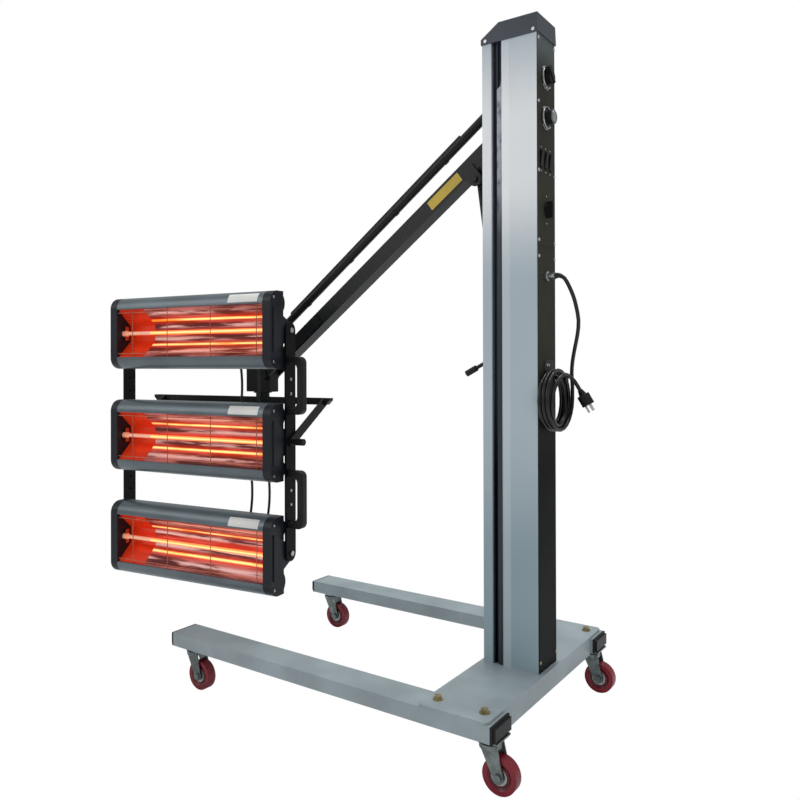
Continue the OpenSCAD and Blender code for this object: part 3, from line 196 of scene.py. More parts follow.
# %% Sums on sockets
class Value:
    """A socket of a finish, for use in sums."""

    def __init__(self, finish, socket):
        self.finish, self.socket = finish, socket

    def sum(self, kind, first, second):
        return self.finish.node("ShaderNodeMath", {"operation": kind}, {0: first, 1: second})

    def __add__(self, other):
        return self.sum("ADD", self, other)

    def __sub__(self, other):
        return self.sum("SUBTRACT", self, other)

    def __rsub__(self, other):
        return self.sum("SUBTRACT", other, self)

    def __mul__(self, other):
        return self.sum("MULTIPLY", self, other)

    def over(self, level, soft):
        """A mask: 0 well below the level, 1 well above it, with a soft step between."""
        return self.finish.node("ShaderNodeMapRange", {"interpolation_type": "SMOOTHSTEP"},
            {0: self, 1: level - soft, 2: level + soft, 3: 0.0, 4: 1.0})

    def within(self, low, high, soft):
        return self.over(low, soft) * (1 - self.over(high, soft))

    __radd__ = __add__
    __rmul__ = __mul__


# %% [markdown]
# A finish is a material whose shader gets its colour, roughness and bump here. Colours are written as they look on
# a screen, from 0 to 255, and turned into the linear numbers that the shader wants. The patterns read the Object
# coordinates, which for these pieces are metres in the lamp's own frame, so a grain has the same size everywhere.

# %% Finishes
def screen(r, g, b):
    """A screen colour, 0 to 255, as a linear one."""
    return tuple(((v / 255 + 0.055) / 1.055) ** 2.4 if v > 10 else v / 255 / 12.92 for v in (r, g, b)) + (1.0,)


class Finish:
    """A material that is built up by sums on its sockets."""

    def __init__(self, name):
        self.material = bpy.data.materials.new(name)
        self.material.use_nodes = True
        self.tree = self.material.node_tree
        self.shader = self.tree.nodes["Principled BSDF"]
        self.place = self.node("ShaderNodeTexCoord", {}, {}, "Object")

    def node(self, kind, settings, inputs, output=0):
        """Add a node, set it, set or link its sockets, and give one of its outputs."""
        made = self.tree.nodes.new(kind)
        for key, value in settings.items():
            setattr(made, key, value)
        for key, value in inputs.items():
            self.give(made.inputs[key], value)
        return Value(self, made.outputs[output])

    def give(self, socket, value):
        if isinstance(value, Value):
            self.tree.links.new(value.socket, socket)
        else:
            socket.default_value = value

    def axis(self, name, turned=0.0, centre=(0, 0, 0)):
        """One of the coordinates X, Y and Z, about a centre and turned about Z by an angle."""
        moved = self.node("ShaderNodeMapping", {"vector_type": "TEXTURE"},
            {"Vector": self.place, "Location": tuple(centre), "Rotation": (0, 0, turned)})
        return self.node("ShaderNodeSeparateXYZ", {}, {0: moved}, name)

    def noise(self, size, detail=2.0, stretch=(1, 1, 1)):
        """Noise whose blotches are about that size, in metres, drawn out by stretch along each axis."""
        where = self.node("ShaderNodeMapping", {}, {"Vector": self.place,
            "Scale": tuple(1 / (size * s) for s in stretch)})
        return self.node("ShaderNodeTexNoise", {}, {"Vector": where, "Scale": 1.0, "Detail": detail}, "Fac")

    def blend(self, share, first, second):
        return self.node("ShaderNodeMix", {"data_type": "RGBA"}, {0: share, 6: first, 7: second}, 2)

    def bump(self, height, depth):
        """Bump whose full height is that many metres deep."""
        self.give(self.shader.inputs["Normal"], self.node("ShaderNodeBump", {},
            {"Height": height, "Strength": 1.0, "Distance": depth}))

    def tone(self):
        """The colour that the shader has now, for use in sums."""
        return Value(self, self.shader.inputs["Base Color"].links[0].from_socket)

    def set(self, **sockets):
        """Set sockets of the shader, with underscores for the spaces in their names."""
        for key, value in sockets.items():
            self.give(self.shader.inputs[key.replace("_", " ")], value)


# %% [markdown]
# The metal parts are powder coated. Powder melts into a skin with a fine orange peel, so a coat gets three things:
# a slow drift of its colour, a fine bump, and a little dust that settles as paler specks. One function makes every
# coat, and takes the colour, the gloss and how deep the peel is.

# %% Coats and plastics
def coat(name, colour, rough=0.4, peel=0.04, grain=1.4, drift=0.12, metallic=0.0, dust=0.25, shade=0.85,
        shine=0.5):
    """A coat: colour, roughness, depth of its peel and size of its grain in millimetres, and how far it drifts."""
    made = Finish(name)
    slow, fine = made.noise(0.12, 3), made.noise(grain * mm, 1)
    full = screen(*colour)
    dark = tuple(c * (1 - drift) * shade for c in full[:3]) + (1.0,)
    pale = tuple(min(1, c * (1 + drift) + 0.01) for c in full[:3]) + (1.0,)
    body = made.blend(slow.over(0.5, 0.25), dark, full)
    specks = fine.over(0.66, 0.08) * dust
    made.set(Base_Color=made.blend(specks, body, pale), Roughness=slow * 0.16 + (rough - 0.08), Metallic=metallic,
        Specular_IOR_Level=shine)
    made.bump(fine, peel * mm)
    return made


looks = {}


def keep(slot, finish):
    """Remember a finish by the name of the record's slot that it stands for."""
    looks[slot] = finish.material
    return finish


keep("leg_paint", coat("leg_coat", (158, 172, 178), 0.38, 0.03))
keep("black_paint", coat("black_coat", (24, 25, 26), 0.36, 0.03, shine=0.28))
panel_paint = keep("panel_paint", coat("panel_coat", (60, 61, 52), 0.55, 0.09, 0.9, shine=0.08))
# The panel's paint turns a paler grey above 1.54 m, and darkens smoothly below about 0.72 m, a painted shade.
panel_height = panel_paint.axis("Z")
panel_tone = panel_paint.blend(panel_height.over(1.54, 0.05), panel_paint.tone(), screen(98, 105, 106))
panel_paint.set(Base_Color=panel_paint.blend(panel_height.over(0.72, 0.12), screen(12, 14, 14), panel_tone))
keep("cap_paint", coat("cap_coat", (62, 70, 80), 0.42, 0.05))
keep("black_plastic", coat("black_moulding", (20, 21, 22), 0.45, 0.04, 0.7, shine=0.3))
keep("white_plastic", coat("pale_moulding", (196, 196, 188), 0.4, 0.02))
keep("slate_cap", coat("end_cap_moulding", (28, 32, 40), 0.42, 0.06, 0.8, shine=0.3))
keep("cord_sheath", coat("rubber_sheath", (14, 15, 17), 0.3, 0.02, 0.8))
print(len(looks), "coats")

# %% [markdown]
# Bare metal shows how it was made. Zinc plate is cloudy and has grown dull in patches, turned steel is bright with
# small scratches, and drawn aluminium has fine lines along its length. The metals share one function: a noise that
# is drawn out along one axis gives the lines, and a second noise gives the clouds.

# %% Metals
def metal(name, colour, rough, stretch=(1, 1, 1), line=0.8, cloud=0.5, depth=0.01, metallic=1.0):
    """Bare metal: lines of that width in millimetres, drawn out by stretch, and clouds of a darker tone."""
    made = Finish(name)
    lines, clouds = made.noise(line * mm, 2, stretch), made.noise(0.018, 3)
    full = screen(*colour)
    dark = tuple(c * (1 - cloud) for c in full[:3]) + (1.0,)
    made.set(Base_Color=made.blend(clouds.over(0.52, 0.2), dark, full), Metallic=metallic,
        Roughness=lines * 0.14 + clouds * 0.12 + (rough - 0.12))
    made.bump(lines, depth * mm)
    return made


keep("zinc", metal("zinc_plate", (132, 142, 140), 0.36, (1, 1, 1), 2.0, 0.45, 0.02, 0.8))
keep("bright_steel", metal("bright_steel", (205, 208, 210), 0.26, (1, 1, 6), 0.6, 0.3, 0.004))
keep("guard_wire", metal("hot_wire", (205, 120, 95), 0.34, (6, 6, 1), 0.6, 0.3, 0.004, 0.8))
keep("slate_aluminium", coat("slate_coat", (104, 116, 122), 0.34, 0.03, 1.0, 0.08, 0.35, 0.1))
keep("red_tread", coat("crimson_tread", (128, 18, 36), 0.3, 0.03, 1.2, 0.2, 0.0, 0.15))
print("metals done,", len(looks), "slots have a finish")

# %% [markdown]
# The column is one blue-grey extrusion, and the picture shows three things on it: its paint looks paler around the
# height of the controls and darker at its foot, which are drawn as a painted highlight and a painted shade; a shallow
# step runs up its wide strip, with a little painted highlight beside it; and the carriage has rubbed the right side
# of the black groove to a mottled grey. All three are masks on the height and on the place across the face. The rub
# also gets a strip of its own further on.

# %% Column finish
column_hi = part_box("column")[1]
groove_x1 = zero_x + (column_x0 + groove_inset + groove_w) * mm
column_paint = coat("column_coat", (158, 171, 178), 0.36, 0.03, 1.2, 0.03, 0.0, 0.1)
height, across = column_paint.axis("Z"), column_paint.axis("X")
step_at = groove_x1 + 20 * mm
beside_step = across.within(groove_x1 + 2 * mm, step_at, 1.2 * mm)
# Painted highlight: a band around the height of the controls, and a little beside the step, turn the paint near
# white.
tone = (height.within(1.16, 1.52, 0.13) * 0.85 + beside_step * 0.15 + column_paint.noise(0.3, 2) * 0.15)
# Painted shade: the paint is darker below about 0.55 m.
painted_shade_foot = column_paint.blend(height.over(0.55, 0.2), screen(134, 158, 168), screen(176, 192, 202))
body = column_paint.blend(tone, painted_shade_foot, screen(250, 253, 255))
column_paint.set(Base_Color=body)
column_paint.bump(beside_step + column_paint.noise(1.2 * mm, 1) * 0.15, 0.2 * mm)
keep("column_paint", column_paint)

groove_black = coat("groove_black", (46, 55, 66), 0.45, 0.03, 1.0, 0.1, 0.0, 0.2, shine=0.2)
height, across = groove_black.axis("Z"), groove_black.axis("X")
rub = across.over(groove_x1 - 10 * mm, 1.5 * mm) * (1 - height.over(1.49, 0.02)) * height.over(0.86, 0.12)
patches = groove_black.noise(0.012, 4, (1, 1, 2.5)).over(0.42, 0.16)
# Below 0.7 m the groove's black is darker still, a painted shade.
groove_black.set(Base_Color=groove_black.blend(rub * (patches * 0.65 + 0.35),
    groove_black.blend(height.over(0.7, 0.12), screen(6, 9, 11), screen(54, 62, 72)), screen(200, 204, 212)))
print("step at", round(step_at, 3))

# %% [markdown]
# The lamp tubes glow, and their light is what the eye sees first. The tube is quartz with a hot coil inside, so it
# is white-gold along its middle and orange at its sides, and its ceramic ends get a dim orange glow of painted light.
# The trough behind it is polished metal that mirrors the tube above and below. Its light and shade are painted into
# its colour and its glow: painted red light near the tube, pale painted highlights, dark copper as painted
# reflection of the dark surroundings, and painted red light on its end plates. Mirror images that move with the eye
# can't be kept on a model, so the two mirror lines are painted reflections in the trough's own colour and glow.

# %% Glow finishes
lamp_y_h, end_x, ceramic_x = -220, 243, 232


def glow_lines(made, heights, half, soft):
    """A mask that is 1 on lines along the head at those heights above each cassette's axis."""
    z = made.axis("Z")
    total = 0.0
    for middle in cassette_z:
        for h in heights:
            level = (middle + h) * mm
            total = z.within(level - half * mm, level + half * mm, soft * mm) + total
    return total


lamp_glow = Finish("glowing_quartz")
along = lamp_glow.axis("X", head_turn, swivel)
coils = lamp_glow.node("ShaderNodeTexWave", {"bands_direction": "X"},
    {"Vector": lamp_glow.node("ShaderNodeMapping", {"vector_type": "TEXTURE"},
        {"Vector": lamp_glow.place, "Location": tuple(swivel), "Rotation": (0, 0, head_turn)}),
        "Scale": 70.0, "Distortion": 1.5, "Detail": 1.0}, "Fac")
lamp_core = glow_lines(lamp_glow, (0.0,), 1.8, 1.6)
tube_end = along.over(ceramic_x * mm, 1 * mm) + (1 - along.over(-ceramic_x * mm, 1 * mm))
hot = lamp_glow.blend(lamp_core * (coils * 0.4 + 0.6), screen(252, 104, 24), screen(255, 236, 168))
# The tube's ceramic ends glow a dim orange, which is painted light from the tube.
lamp_glow.set(Roughness=0.2, Emission_Strength=1.0,
    Base_Color=lamp_glow.blend(tube_end, screen(255, 190, 110), screen(236, 206, 178)),
    Emission_Color=lamp_glow.blend(tube_end, hot, screen(150, 62, 30)))
keep("lamp_glass", lamp_glow)

painted_reflection_heights = (36.0, -33.0)
trough = Finish("copper_mirror_painted_light")
# Masks for painted reflections of the tube, bands of painted red light, and pale painted highlights.
painted_reflection_lines = glow_lines(trough, painted_reflection_heights, 2.4, 2.0)
painted_red_light_bands = glow_lines(trough, (36.0, 2.0, -33.0), 8.0, 7.0)
painted_highlight_bands = glow_lines(trough, (56.0, 18.0, -17.0, -52.0), 3.6, 4.0)
ripple = trough.noise(0.03, 3, (5, 5, 0.35))
patch = trough.noise(0.05, 2, (3, 3, 1))
# Dark copper as painted reflection of the dark surroundings, then painted red light near the tube.
deep = trough.blend(ripple.over(0.5, 0.14), screen(84, 30, 28), screen(186, 104, 98))
painted_red_light = trough.blend(painted_red_light_bands * (patch * 0.5 + 0.45), deep, screen(206, 44, 22))
painted_light_colour = trough.blend(painted_highlight_bands * ripple.over(0.5, 0.06) * 0.85, painted_red_light, screen(255, 238, 232))
painted_reflection_colour = trough.blend(ripple.over(0.46, 0.1), screen(255, 138, 44), screen(255, 226, 140))
painted_reflection_mask = painted_reflection_lines * (patch * 0.5 + 0.7)
far_end = trough.axis("X", head_turn, swivel)
# Painted red light on the trough's end plates.
painted_light_end_plates = far_end.over(end_x * mm, 0.6 * mm) + (1 - far_end.over(-end_x * mm, 0.6 * mm))
painted_light_colour = trough.blend(painted_light_end_plates, painted_light_colour, trough.blend(patch, screen(176, 32, 14), screen(232, 70, 28)))
painted_red_light = trough.blend(painted_light_end_plates, painted_red_light, screen(196, 44, 18))
painted_reflection_mask = painted_reflection_mask * (1 - painted_light_end_plates)
# The painted light and painted reflections are both the trough's colour and its glow.
trough.set(Base_Color=trough.blend(painted_reflection_mask, painted_light_colour, painted_reflection_colour), Metallic=0.35, Roughness=ripple * 0.2 + 0.16,
    Emission_Strength=1.0, Emission_Color=trough.blend(painted_reflection_mask, trough.blend(0.42, (0, 0, 0, 1), painted_red_light), painted_reflection_colour))
trough.bump(ripple, 0.25 * mm)
keep("copper_reflector", trough)
print("glow at", painted_reflection_heights, "mm beside each tube")

# %% [markdown]
# Every solid that is already right keeps its shape and only gets its finish, through the slot that the record
# gives it.

# %% Finishes on the solids
def dress(piece, finish):
    """Give a piece one finish all over."""
    material = finish.material if isinstance(finish, Finish) else finish
    piece.data.materials.clear()
    piece.data.materials.append(material)


for part in frame["record"]["subparts"]:
    dress(nodes[part["node"]], looks[part["material_slot"]])
dress(nodes["groove_trims"], groove_black)
dress(mains_cord, looks["cord_sheath"])
print("finishes on", len(nodes), "solids")

# %% [markdown]
# Pieces are modelled as by hand: a primitive is put in its place, its faces are picked by where they are or which
# way they look, and they are inset, extruded or bevelled. These helpers keep each step to a line. A place is baked
# into the mesh at once, so every piece keeps its own origin at zero, as the solids do.

# %% Hand tools
def start(kind, name, place, turn=(0, 0, 0), on=None, **sizes):
    """Add a primitive at a place, turned, with nothing else selected. On the head, place and turn are the head's."""
    bpy.ops.object.select_all(action="DESELECT")
    getattr(bpy.ops.mesh, "primitive_%s_add" % kind)(location=(0, 0, 0), **sizes)
    piece = bpy.context.object
    piece.name = name
    matrix = Matrix.Translation(Vector(place) * mm)
    for angle, axis in zip(turn, "XYZ"):
        matrix = matrix @ Matrix.Rotation(angle, 4, axis)
    piece.matrix_world = (drawn if on is None else on) @ matrix @ piece.matrix_world
    bpy.ops.object.transform_apply(location=True, rotation=True, scale=True)
    return piece


def pick(piece, test, kind="FACE"):
    """Go to edit mode and select just the faces, or edges, that pass the test."""
    bpy.context.view_layer.objects.active = piece
    bpy.ops.object.mode_set(mode="EDIT")
    bpy.ops.mesh.select_mode(type=kind)
    bpy.ops.mesh.select_all(action="DESELECT")
    shape = bmesh.from_edit_mesh(piece.data)
    found = [part for part in (shape.faces if kind == "FACE" else shape.edges) if test(part)]
    for part in found:
        part.select_set(True)
    bmesh.update_edit_mesh(piece.data)
    return len(found)


def finish_modifier(piece, kind, **settings):
    """Add a modifier, set it and apply it."""
    only(piece)
    added = piece.modifiers.new(kind.lower(), kind)
    for key, value in settings.items():
        setattr(added, key, value)
    bpy.ops.object.modifier_apply(modifier=added.name)


def round_edges(piece, width, segments=2, angle=35):
    finish_modifier(piece, "BEVEL", width=width * mm, segments=segments, limit_method="ANGLE",
        angle_limit=radians(angle), use_clamp_overlap=True)


def joined(name, pieces):
    """Join several pieces into the first one."""
    bpy.ops.object.select_all(action="DESELECT")
    for piece in pieces:
        piece.select_set(True)
    bpy.context.view_layer.objects.active = pieces[0]
    bpy.ops.object.join()
    pieces[0].name = name
    return pieces[0]


def settle(piece, body, slot, look=None, node=None):
    """Leave edit mode, smooth the round faces, give the finish, and tie the piece to its body."""
    if bpy.context.mode != "OBJECT":
        bpy.ops.object.mode_set(mode="OBJECT")
    only(piece)
    bpy.ops.object.shade_smooth_by_angle(angle=smooth_angle)
    if node:
        finish_modifier(piece, "WEIGHTED_NORMAL", keep_sharp=True)
    dress(piece, look or looks[slot])
    if node:
        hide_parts(node)
    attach(piece, body)
    return piece


def copy_of(piece, name, move):
    """A copy with its own mesh, moved by a matrix in the frame."""
    again = bpy.data.objects.new(name, piece.data.copy())
    bpy.context.scene.collection.objects.link(again)
    again.data.transform(move)
    return again


print("hand tools ready")

# %% [markdown]
# Nothing that is cast, pressed or moulded has a sharp edge: a press leaves a radius, and a coat of powder fills it.
# A thin bright line of light along each edge is what makes a machine look real. The solids have sharp edges, so a
# copy of each is merged, cleared of its triangles, and bevelled, and stands in its place. The rails, the carriage
# and the fasteners get a finish of their own: flat black, pale grey, and zinc that is yellow on the base.

# %% Rounded copies of the solids
body_of_node = {n: b for b, names in frame["record"]["behaviour"]["bodies"].items() for n in names}
slot_of_node = {part["node"]: part["material_slot"] for part in frame["record"]["subparts"]}


def softened(name, width, segments=2, look=None):
    """A copy of a solid with rounded edges, of that width in millimetres, in place of the solid."""
    piece = bpy.data.objects.new(name + "_soft", nodes[name].data.copy())
    bpy.context.scene.collection.objects.link(piece)
    pick(piece, lambda face: True)
    bpy.ops.mesh.remove_doubles(threshold=0.002 * mm)
    bpy.ops.mesh.dissolve_limited(angle_limit=radians(0.6))
    bpy.ops.object.mode_set(mode="OBJECT")
    round_edges(piece, width, segments)
    return settle(piece, body_of_node[name], slot_of_node[name], look, name)


edge_widths = {"column": 0.8, "top_cap": 1.2, "legs": 1.8, "base_plate": 0.8, "leg_plugs": 0.8,
    "caster_plates": 0.7, "rails": 0.5, "grab_handles": 2.6, "yoke": 0.6, "knuckle": 0.8, "lower_arm": 1.6,
    "carriage": 0.5, "cord_hook": 0.3,
    "control_panel": 0.25, "lower_cover": 0.25, "cable_gland": 0.5, "carriage_lever": 0.8, "tilt_knob": 0.8,
    "main_switch": 1.2, "power_knob": 1.0, "timer_knob": 1.2, "frame_fasteners": 0.5, "pivot_bolts": 0.5}
for k in range(1, 5):
    edge_widths["fork_%d" % k] = 0.7
for k in range(1, 4):
    edge_widths["end_caps_%d" % k] = 2.2
    edge_widths["rocker_%d" % k] = 0.8
rail_look = coat("rail_coat", (14, 14, 14), 0.45, 0.03, shine=0.12)
bolt_look = metal("fastener_zinc", (172, 158, 116), 0.36, (1, 1, 1), 1.5, 0.35, 0.01, 0.85)
above_base = bolt_look.axis("Z").over(0.3, 0.02)
bolt_look.set(Base_Color=bolt_look.blend(above_base, bolt_look.tone(), screen(214, 216, 218)))
carriage_look = coat("carriage_coat", (168, 176, 186), 0.4, 0.03)
soft = {name: softened(name, width, look=bolt_look if name == "frame_fasteners" else None)
    for name, width in edge_widths.items()}
dress(soft["rails"], rail_look)
dress(soft["carriage"], carriage_look)
print(len(soft), "solids rounded,", sum(len(o.data.polygons) for o in soft.values()), "faces")

# %% [markdown]
# A caster wheel is a hard hub with a red tyre cast round it. The tyre's rim is crowned, so it rolls on a narrow
# line, and the hub is dished on both sides down to a bearing with a steel cap. A cylinder is inset and pushed in
# ring by ring, which gives each ring its own faces, and an attribute on the faces says rubber, hub or steel.

# %% Caster wheels
wheel_r, wheel_w, caster_trail = 37.5, 24, 24
fork_places = [(-24, 281), (-24, -281), (-891.6, 281), (-891.6, -281)]
wheel_look = coat("caster_wheel", (134, 16, 36), 0.34, 0.03, 1.0, 0.16, 0.0, 0.12)
ring = wheel_look.node("ShaderNodeAttribute", {"attribute_name": "ring"}, {}, "Fac")
hub_red = wheel_look.blend(ring.over(0.3, 0.05), wheel_look.tone(), screen(92, 10, 24))
wheel_look.set(Base_Color=wheel_look.blend(ring.over(0.75, 0.05), hub_red, screen(178, 180, 180)),
    Metallic=ring.over(0.75, 0.05))


first = fork_places[0]
wheel = start("cylinder", "caster_wheel_1", (first[0] + caster_trail, first[1], wheel_r), (pi / 2, 0, 0),
    vertices=72, radius=wheel_r * mm, depth=wheel_w * mm)
pick(wheel, lambda face: abs(face.normal.y) > 0.9)
dish = [(1.2, 0.0), (9.5, 0.0), (0.8, -0.6), (4.2, -2.4), (3.0, 0.2), (1.0, 2.6), (5.0, 0.0), (1.2, -0.8)]
for inward, sideways in dish:
    bpy.ops.mesh.inset(thickness=inward * mm, depth=sideways * mm)
bpy.ops.object.mode_set(mode="OBJECT")
rings = wheel.data.attributes.new("ring", "FLOAT", "FACE")
for face in wheel.data.polygons:
    reach = hypot(face.center.x - at(first[0] + caster_trail, 0, 0).x, face.center.z - wheel_r * mm) / mm
    rings.data[face.index].value = 0.0 if reach > 26 else 0.5 if reach > 17 else 1.0
round_edges(wheel, 2.4, 3, 60)
for k, place in enumerate(fork_places, 1):
    move = Matrix.Translation(((place[0] - first[0]) * mm, (place[1] - first[1]) * mm, 0))
    settle(wheel if k == 1 else copy_of(wheel, "caster_wheel_%d" % k, move), "wheel_%d" % k, "red_tread",
        wheel_look, "wheel_%d" % k)
print("wheel faces", len(wheel.data.polygons))

# %% [markdown]
# The controls are small, but they sit at eye height. The two dials stand in silver rims, which are open at one
# side; the timer's cap has a bright turned face. White marks above and below show each switch's places.

# %% Dots, rims and the dial face
panel_x = -22.2
control_top = 1594
white_mark = coat("white_mark", (226, 226, 220), 0.5, 0.01)
dial_y, rocker_z, switch_z = -2, control_top - 283, control_top - 395


def disc(name, place, radius, height, sides=32):
    """A disc that looks along +X, with its back on the place and a rounded rim."""
    piece = start("cylinder", name, (place[0] + height / 2, place[1], place[2]), (0, pi / 2, 0),
        vertices=sides, radius=radius * mm, depth=height * mm)
    round_edges(piece, height / 3, 2, 60)
    return piece


dots = [disc("dot", (panel_x, y, rocker_z + side * 27), 1.7, 0.4, 16) for y in (-29.7, -5, 19.7) for side in (1, -1)]
dots += [disc("dot", (panel_x, 0, switch_z + side * 31), 1.7, 0.4, 16) for side in (1, -1)]
settle(joined("switch_marks", dots), "base", "white_plastic", white_mark)

power_drop, timer_drop = 92, 184
rim_r, rim_t, rim_stretch, rim_gap_y, rim_gap_z = 24, 1.5, 2, 12, 13
for name, drop in (("power_rim", power_drop), ("timer_rim", timer_drop)):
    hub = (panel_x + 3.2, dial_y, control_top - drop)
    rim = start("torus", name, hub, (0, pi / 2, 0), major_segments=72, minor_segments=12,
        major_radius=rim_r * mm, minor_radius=rim_t * mm)
    bpy.ops.object.mode_set(mode="EDIT")
    bpy.ops.mesh.select_all(action="SELECT")
    bpy.ops.transform.resize(value=(rim_stretch, 1, 1), center_override=at(*hub))
    bpy.ops.object.mode_set(mode="OBJECT")
    centre = at(*hub)
    pick(rim, lambda part: part.calc_center_median().y > centre.y + rim_gap_y * mm
        and abs(part.calc_center_median().z - centre.z + rim_gap_y / 2 * mm) < rim_gap_z * mm)
    bpy.ops.mesh.delete(type="FACE")
    pick(rim, lambda part: part.is_boundary, "EDGE")
    bpy.ops.mesh.edge_face_add()
    bpy.ops.object.mode_set(mode="OBJECT")
    settle(rim, "base", "bright_steel")

face = disc("timer_face", (panel_x + 21, dial_y, control_top - timer_drop), 13.2, 1.2, 48)
pick(face, lambda part: part.normal.x > 0.9)
bpy.ops.mesh.inset(thickness=2.0 * mm, depth=-0.4 * mm)
bpy.ops.mesh.inset(thickness=6.0 * mm, depth=0.3 * mm)
settle(face, "timer_knob", "bright_steel")
print("marks", len(dots))

# %% [markdown]
# Two blank labels: a white one on the upper band of every cassette and a yellow one on the arm. The band is round,
# so its label is cut from the wall of a tube that is a hair wider than the band; the rest of the tube is deleted.

# %% Labels
label_x0, label_x1, band_r, front_y, cassette_h = 146, 244, 32, -247, 205
label_white = coat("label_white", (232, 232, 228), 0.35, 0.004, 2.0, 0.02)
label_yellow = coat("label_yellow", (206, 176, 52), 0.4, 0.004, 2.0, 0.06)
for k, middle in enumerate(cassette_z, 1):
    axis_y, axis_z = front_y + band_r, middle + cassette_h / 2 - band_r
    label = start("cylinder", "band_label_%d" % k, ((label_x0 + label_x1) / 2, axis_y, axis_z), (0, pi / 2, 0),
        on=on_head, vertices=144, radius=(band_r + 0.25) * mm, depth=(label_x1 - label_x0) * mm,
        end_fill_type="NOTHING")
    centre = at((label_x0 + label_x1) / 2, axis_y, axis_z, on_head)
    out = (on_head.to_3x3() @ Vector((0, -1, 0))).normalized()

    def off_label(part):
        reach = part.calc_center_median() - centre
        angle = degrees(atan2(reach.z, reach.dot(out)))
        return not 4 < angle < 50
    pick(label, off_label)
    bpy.ops.mesh.delete(type="FACE")
    bpy.ops.object.mode_set(mode="OBJECT")
    finish_modifier(label, "SOLIDIFY", thickness=0.2 * mm, offset=1)
    settle(label, "cassette_%d" % k, "white_plastic", label_white)

arm_drop = radians(36.6)
label_near, label_far, label_h = 118, 226, 25
arm_middle = (label_near + label_far) / 2
arm_label = start("cube", "arm_label", (-145 - arm_middle * cos(arm_drop), -20.15, 1374 - arm_middle * sin(arm_drop)),
    (0, -arm_drop, 0), size=mm, scale=(label_far - label_near, 0.3, label_h))
pick(arm_label, lambda edge: abs((edge.verts[0].co - edge.verts[1].co).y) > 0.1 * mm, "EDGE")
bpy.ops.mesh.bevel(offset=2 * mm, segments=4, affect="EDGES")
settle(arm_label, "lower_arm", "white_plastic", label_yellow)
print("labels on", len(cassette_z), "cassettes and the arm")

# %% [markdown]
# The lamps are wired from cassette to cassette with heat-proof leads, which leave a socket on one cassette's back,
# bow out behind, and end in the next cassette. They are free leads, so each is a curve on its own route. The main
# cord gets a rubber sleeve that tapers along its first 25 mm, which is what keeps it from breaking at the gland.

# %% Lamp leads and cord sleeve
lead_d, lead_y0, lead_reach, lead_bow = 7, -164.7, 48, 20
lead_shares = [(0, 0, 0), (0, 0, 0.2), (0.03, 0.02, 0.55), (0.1, 0.15, 0.84), (0.22, 0.5, 0.97), (0.36, 0.85, 1),
    (0.5, 1, 1), (0.64, 0.9, 1), (0.78, 0.6, 0.97), (0.9, 0.2, 0.84), (0.97, 0.02, 0.55), (1, 0, 0.2), (1, 0, 0)]
lead_places = [(0, 70), (0, 130), (1, 105), (1, 165)]
for k, (upper, x) in enumerate(lead_places, 1):
    z0, z1 = cassette_z[upper], cassette_z[upper + 1]
    route = smooth_line([(x + bow * lead_bow, lead_y0 + out * lead_reach, z0 + down * (z1 - z0))
        for down, bow, out in lead_shares], 3)
    route = [at(*point, on_head) for point in route]
    lead = round_line("lamp_lead_%d" % k, route, lead_d * mm)
    dress(lead, looks["cord_sheath"])
    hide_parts("head_leads")
    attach(lead, "head_frame")
    round(sum((b - a).length for a, b in zip(route, route[1:])), 3)

sleeve_points = 6
sleeve = round_line("cord_sleeve", cord_line[:sleeve_points], cord_d * mm)
for k, point in enumerate(sleeve.data.splines[0].points):
    point.radius = 1.6 - 0.45 * k / (sleeve_points - 1)
only(sleeve)
bpy.ops.object.convert(target="MESH")
settle(sleeve, "base", "cord_sheath")
print("leads", len(lead_places))

# %% [markdown]
# The plug is one moulding with bright pins. Its pins start where its face is, so the finish measures how far along
# the plug's own direction each point lies, and turns to steel past the face.

# %% Plug finish
plug_look = coat("plug_moulding", (22, 23, 24), 0.45, 0.04, 0.7, shine=0.3)
from_start = plug_look.node("ShaderNodeVectorMath", {"operation": "SUBTRACT"},
    {0: plug_look.place, 1: tuple(at(*plug_at))}, "Vector")
along = plug_look.node("ShaderNodeVectorMath", {"operation": "DOT_PRODUCT"},
    {0: from_start, 1: tuple(plug_dir)}, "Value")
plug_face = 39
pins = along.over((plug_face + 0.3) * mm, 0.2 * mm)
plug_look.set(Base_Color=plug_look.blend(pins, plug_look.tone(), screen(205, 208, 210)), Metallic=pins)
plug = softened("plug", 1.2, 3, plug_look)
print("plug face", plug_face, "mm from the cord's end")

# %% [markdown]
# Each cassette's ends are held by screws in the moulded caps, and the tube's ends sit on brackets that are red in
# the lamp's light. The rails' spare holes have bright screws in them.

# %% Cassette details
cap_x, cap_screw_y, cap_screw_z = 286, front_y + 15, 84
bracket_x, bracket_y = 252, lamp_y_h + 4
bracket_look = coat("lit_bracket", (214, 78, 26), 0.4, 0.03)
for k, middle in enumerate(cassette_z, 1):
    heads = [start("cylinder", "cap_screw", (side * (cap_x + 0.6), cap_screw_y, middle + above * cap_screw_z),
        (0, pi / 2, 0), on_head, vertices=24, radius=3.6 * mm, depth=2 * mm)
        for side in (1, -1) for above in (1, -1)]
    screws = joined("cap_screws_%d" % k, heads)
    round_edges(screws, 0.8, 3, 60)
    settle(screws, "cassette_%d" % k, "bright_steel")
    brackets = []
    for side in (1, -1):
        bracket = start("cube", "bracket", (side * bracket_x, bracket_y, middle), on=on_head, size=mm,
            scale=(3, 12, 34))
        pick(bracket, lambda part: abs(part.normal.z) > 0.9)
        bpy.ops.mesh.inset(thickness=0.7 * mm, depth=3 * mm)
        bpy.ops.object.mode_set(mode="OBJECT")
        round_edges(bracket, 0.8)
        brackets.append(bracket)
    settle(joined("lamp_brackets_%d" % k, brackets), "cassette_%d" % k, "copper_reflector", bracket_look)
rail_face, pivot_y = 295.3, -170
rail_hole_shares = (0.28, 0.215, -0.218, -0.281)
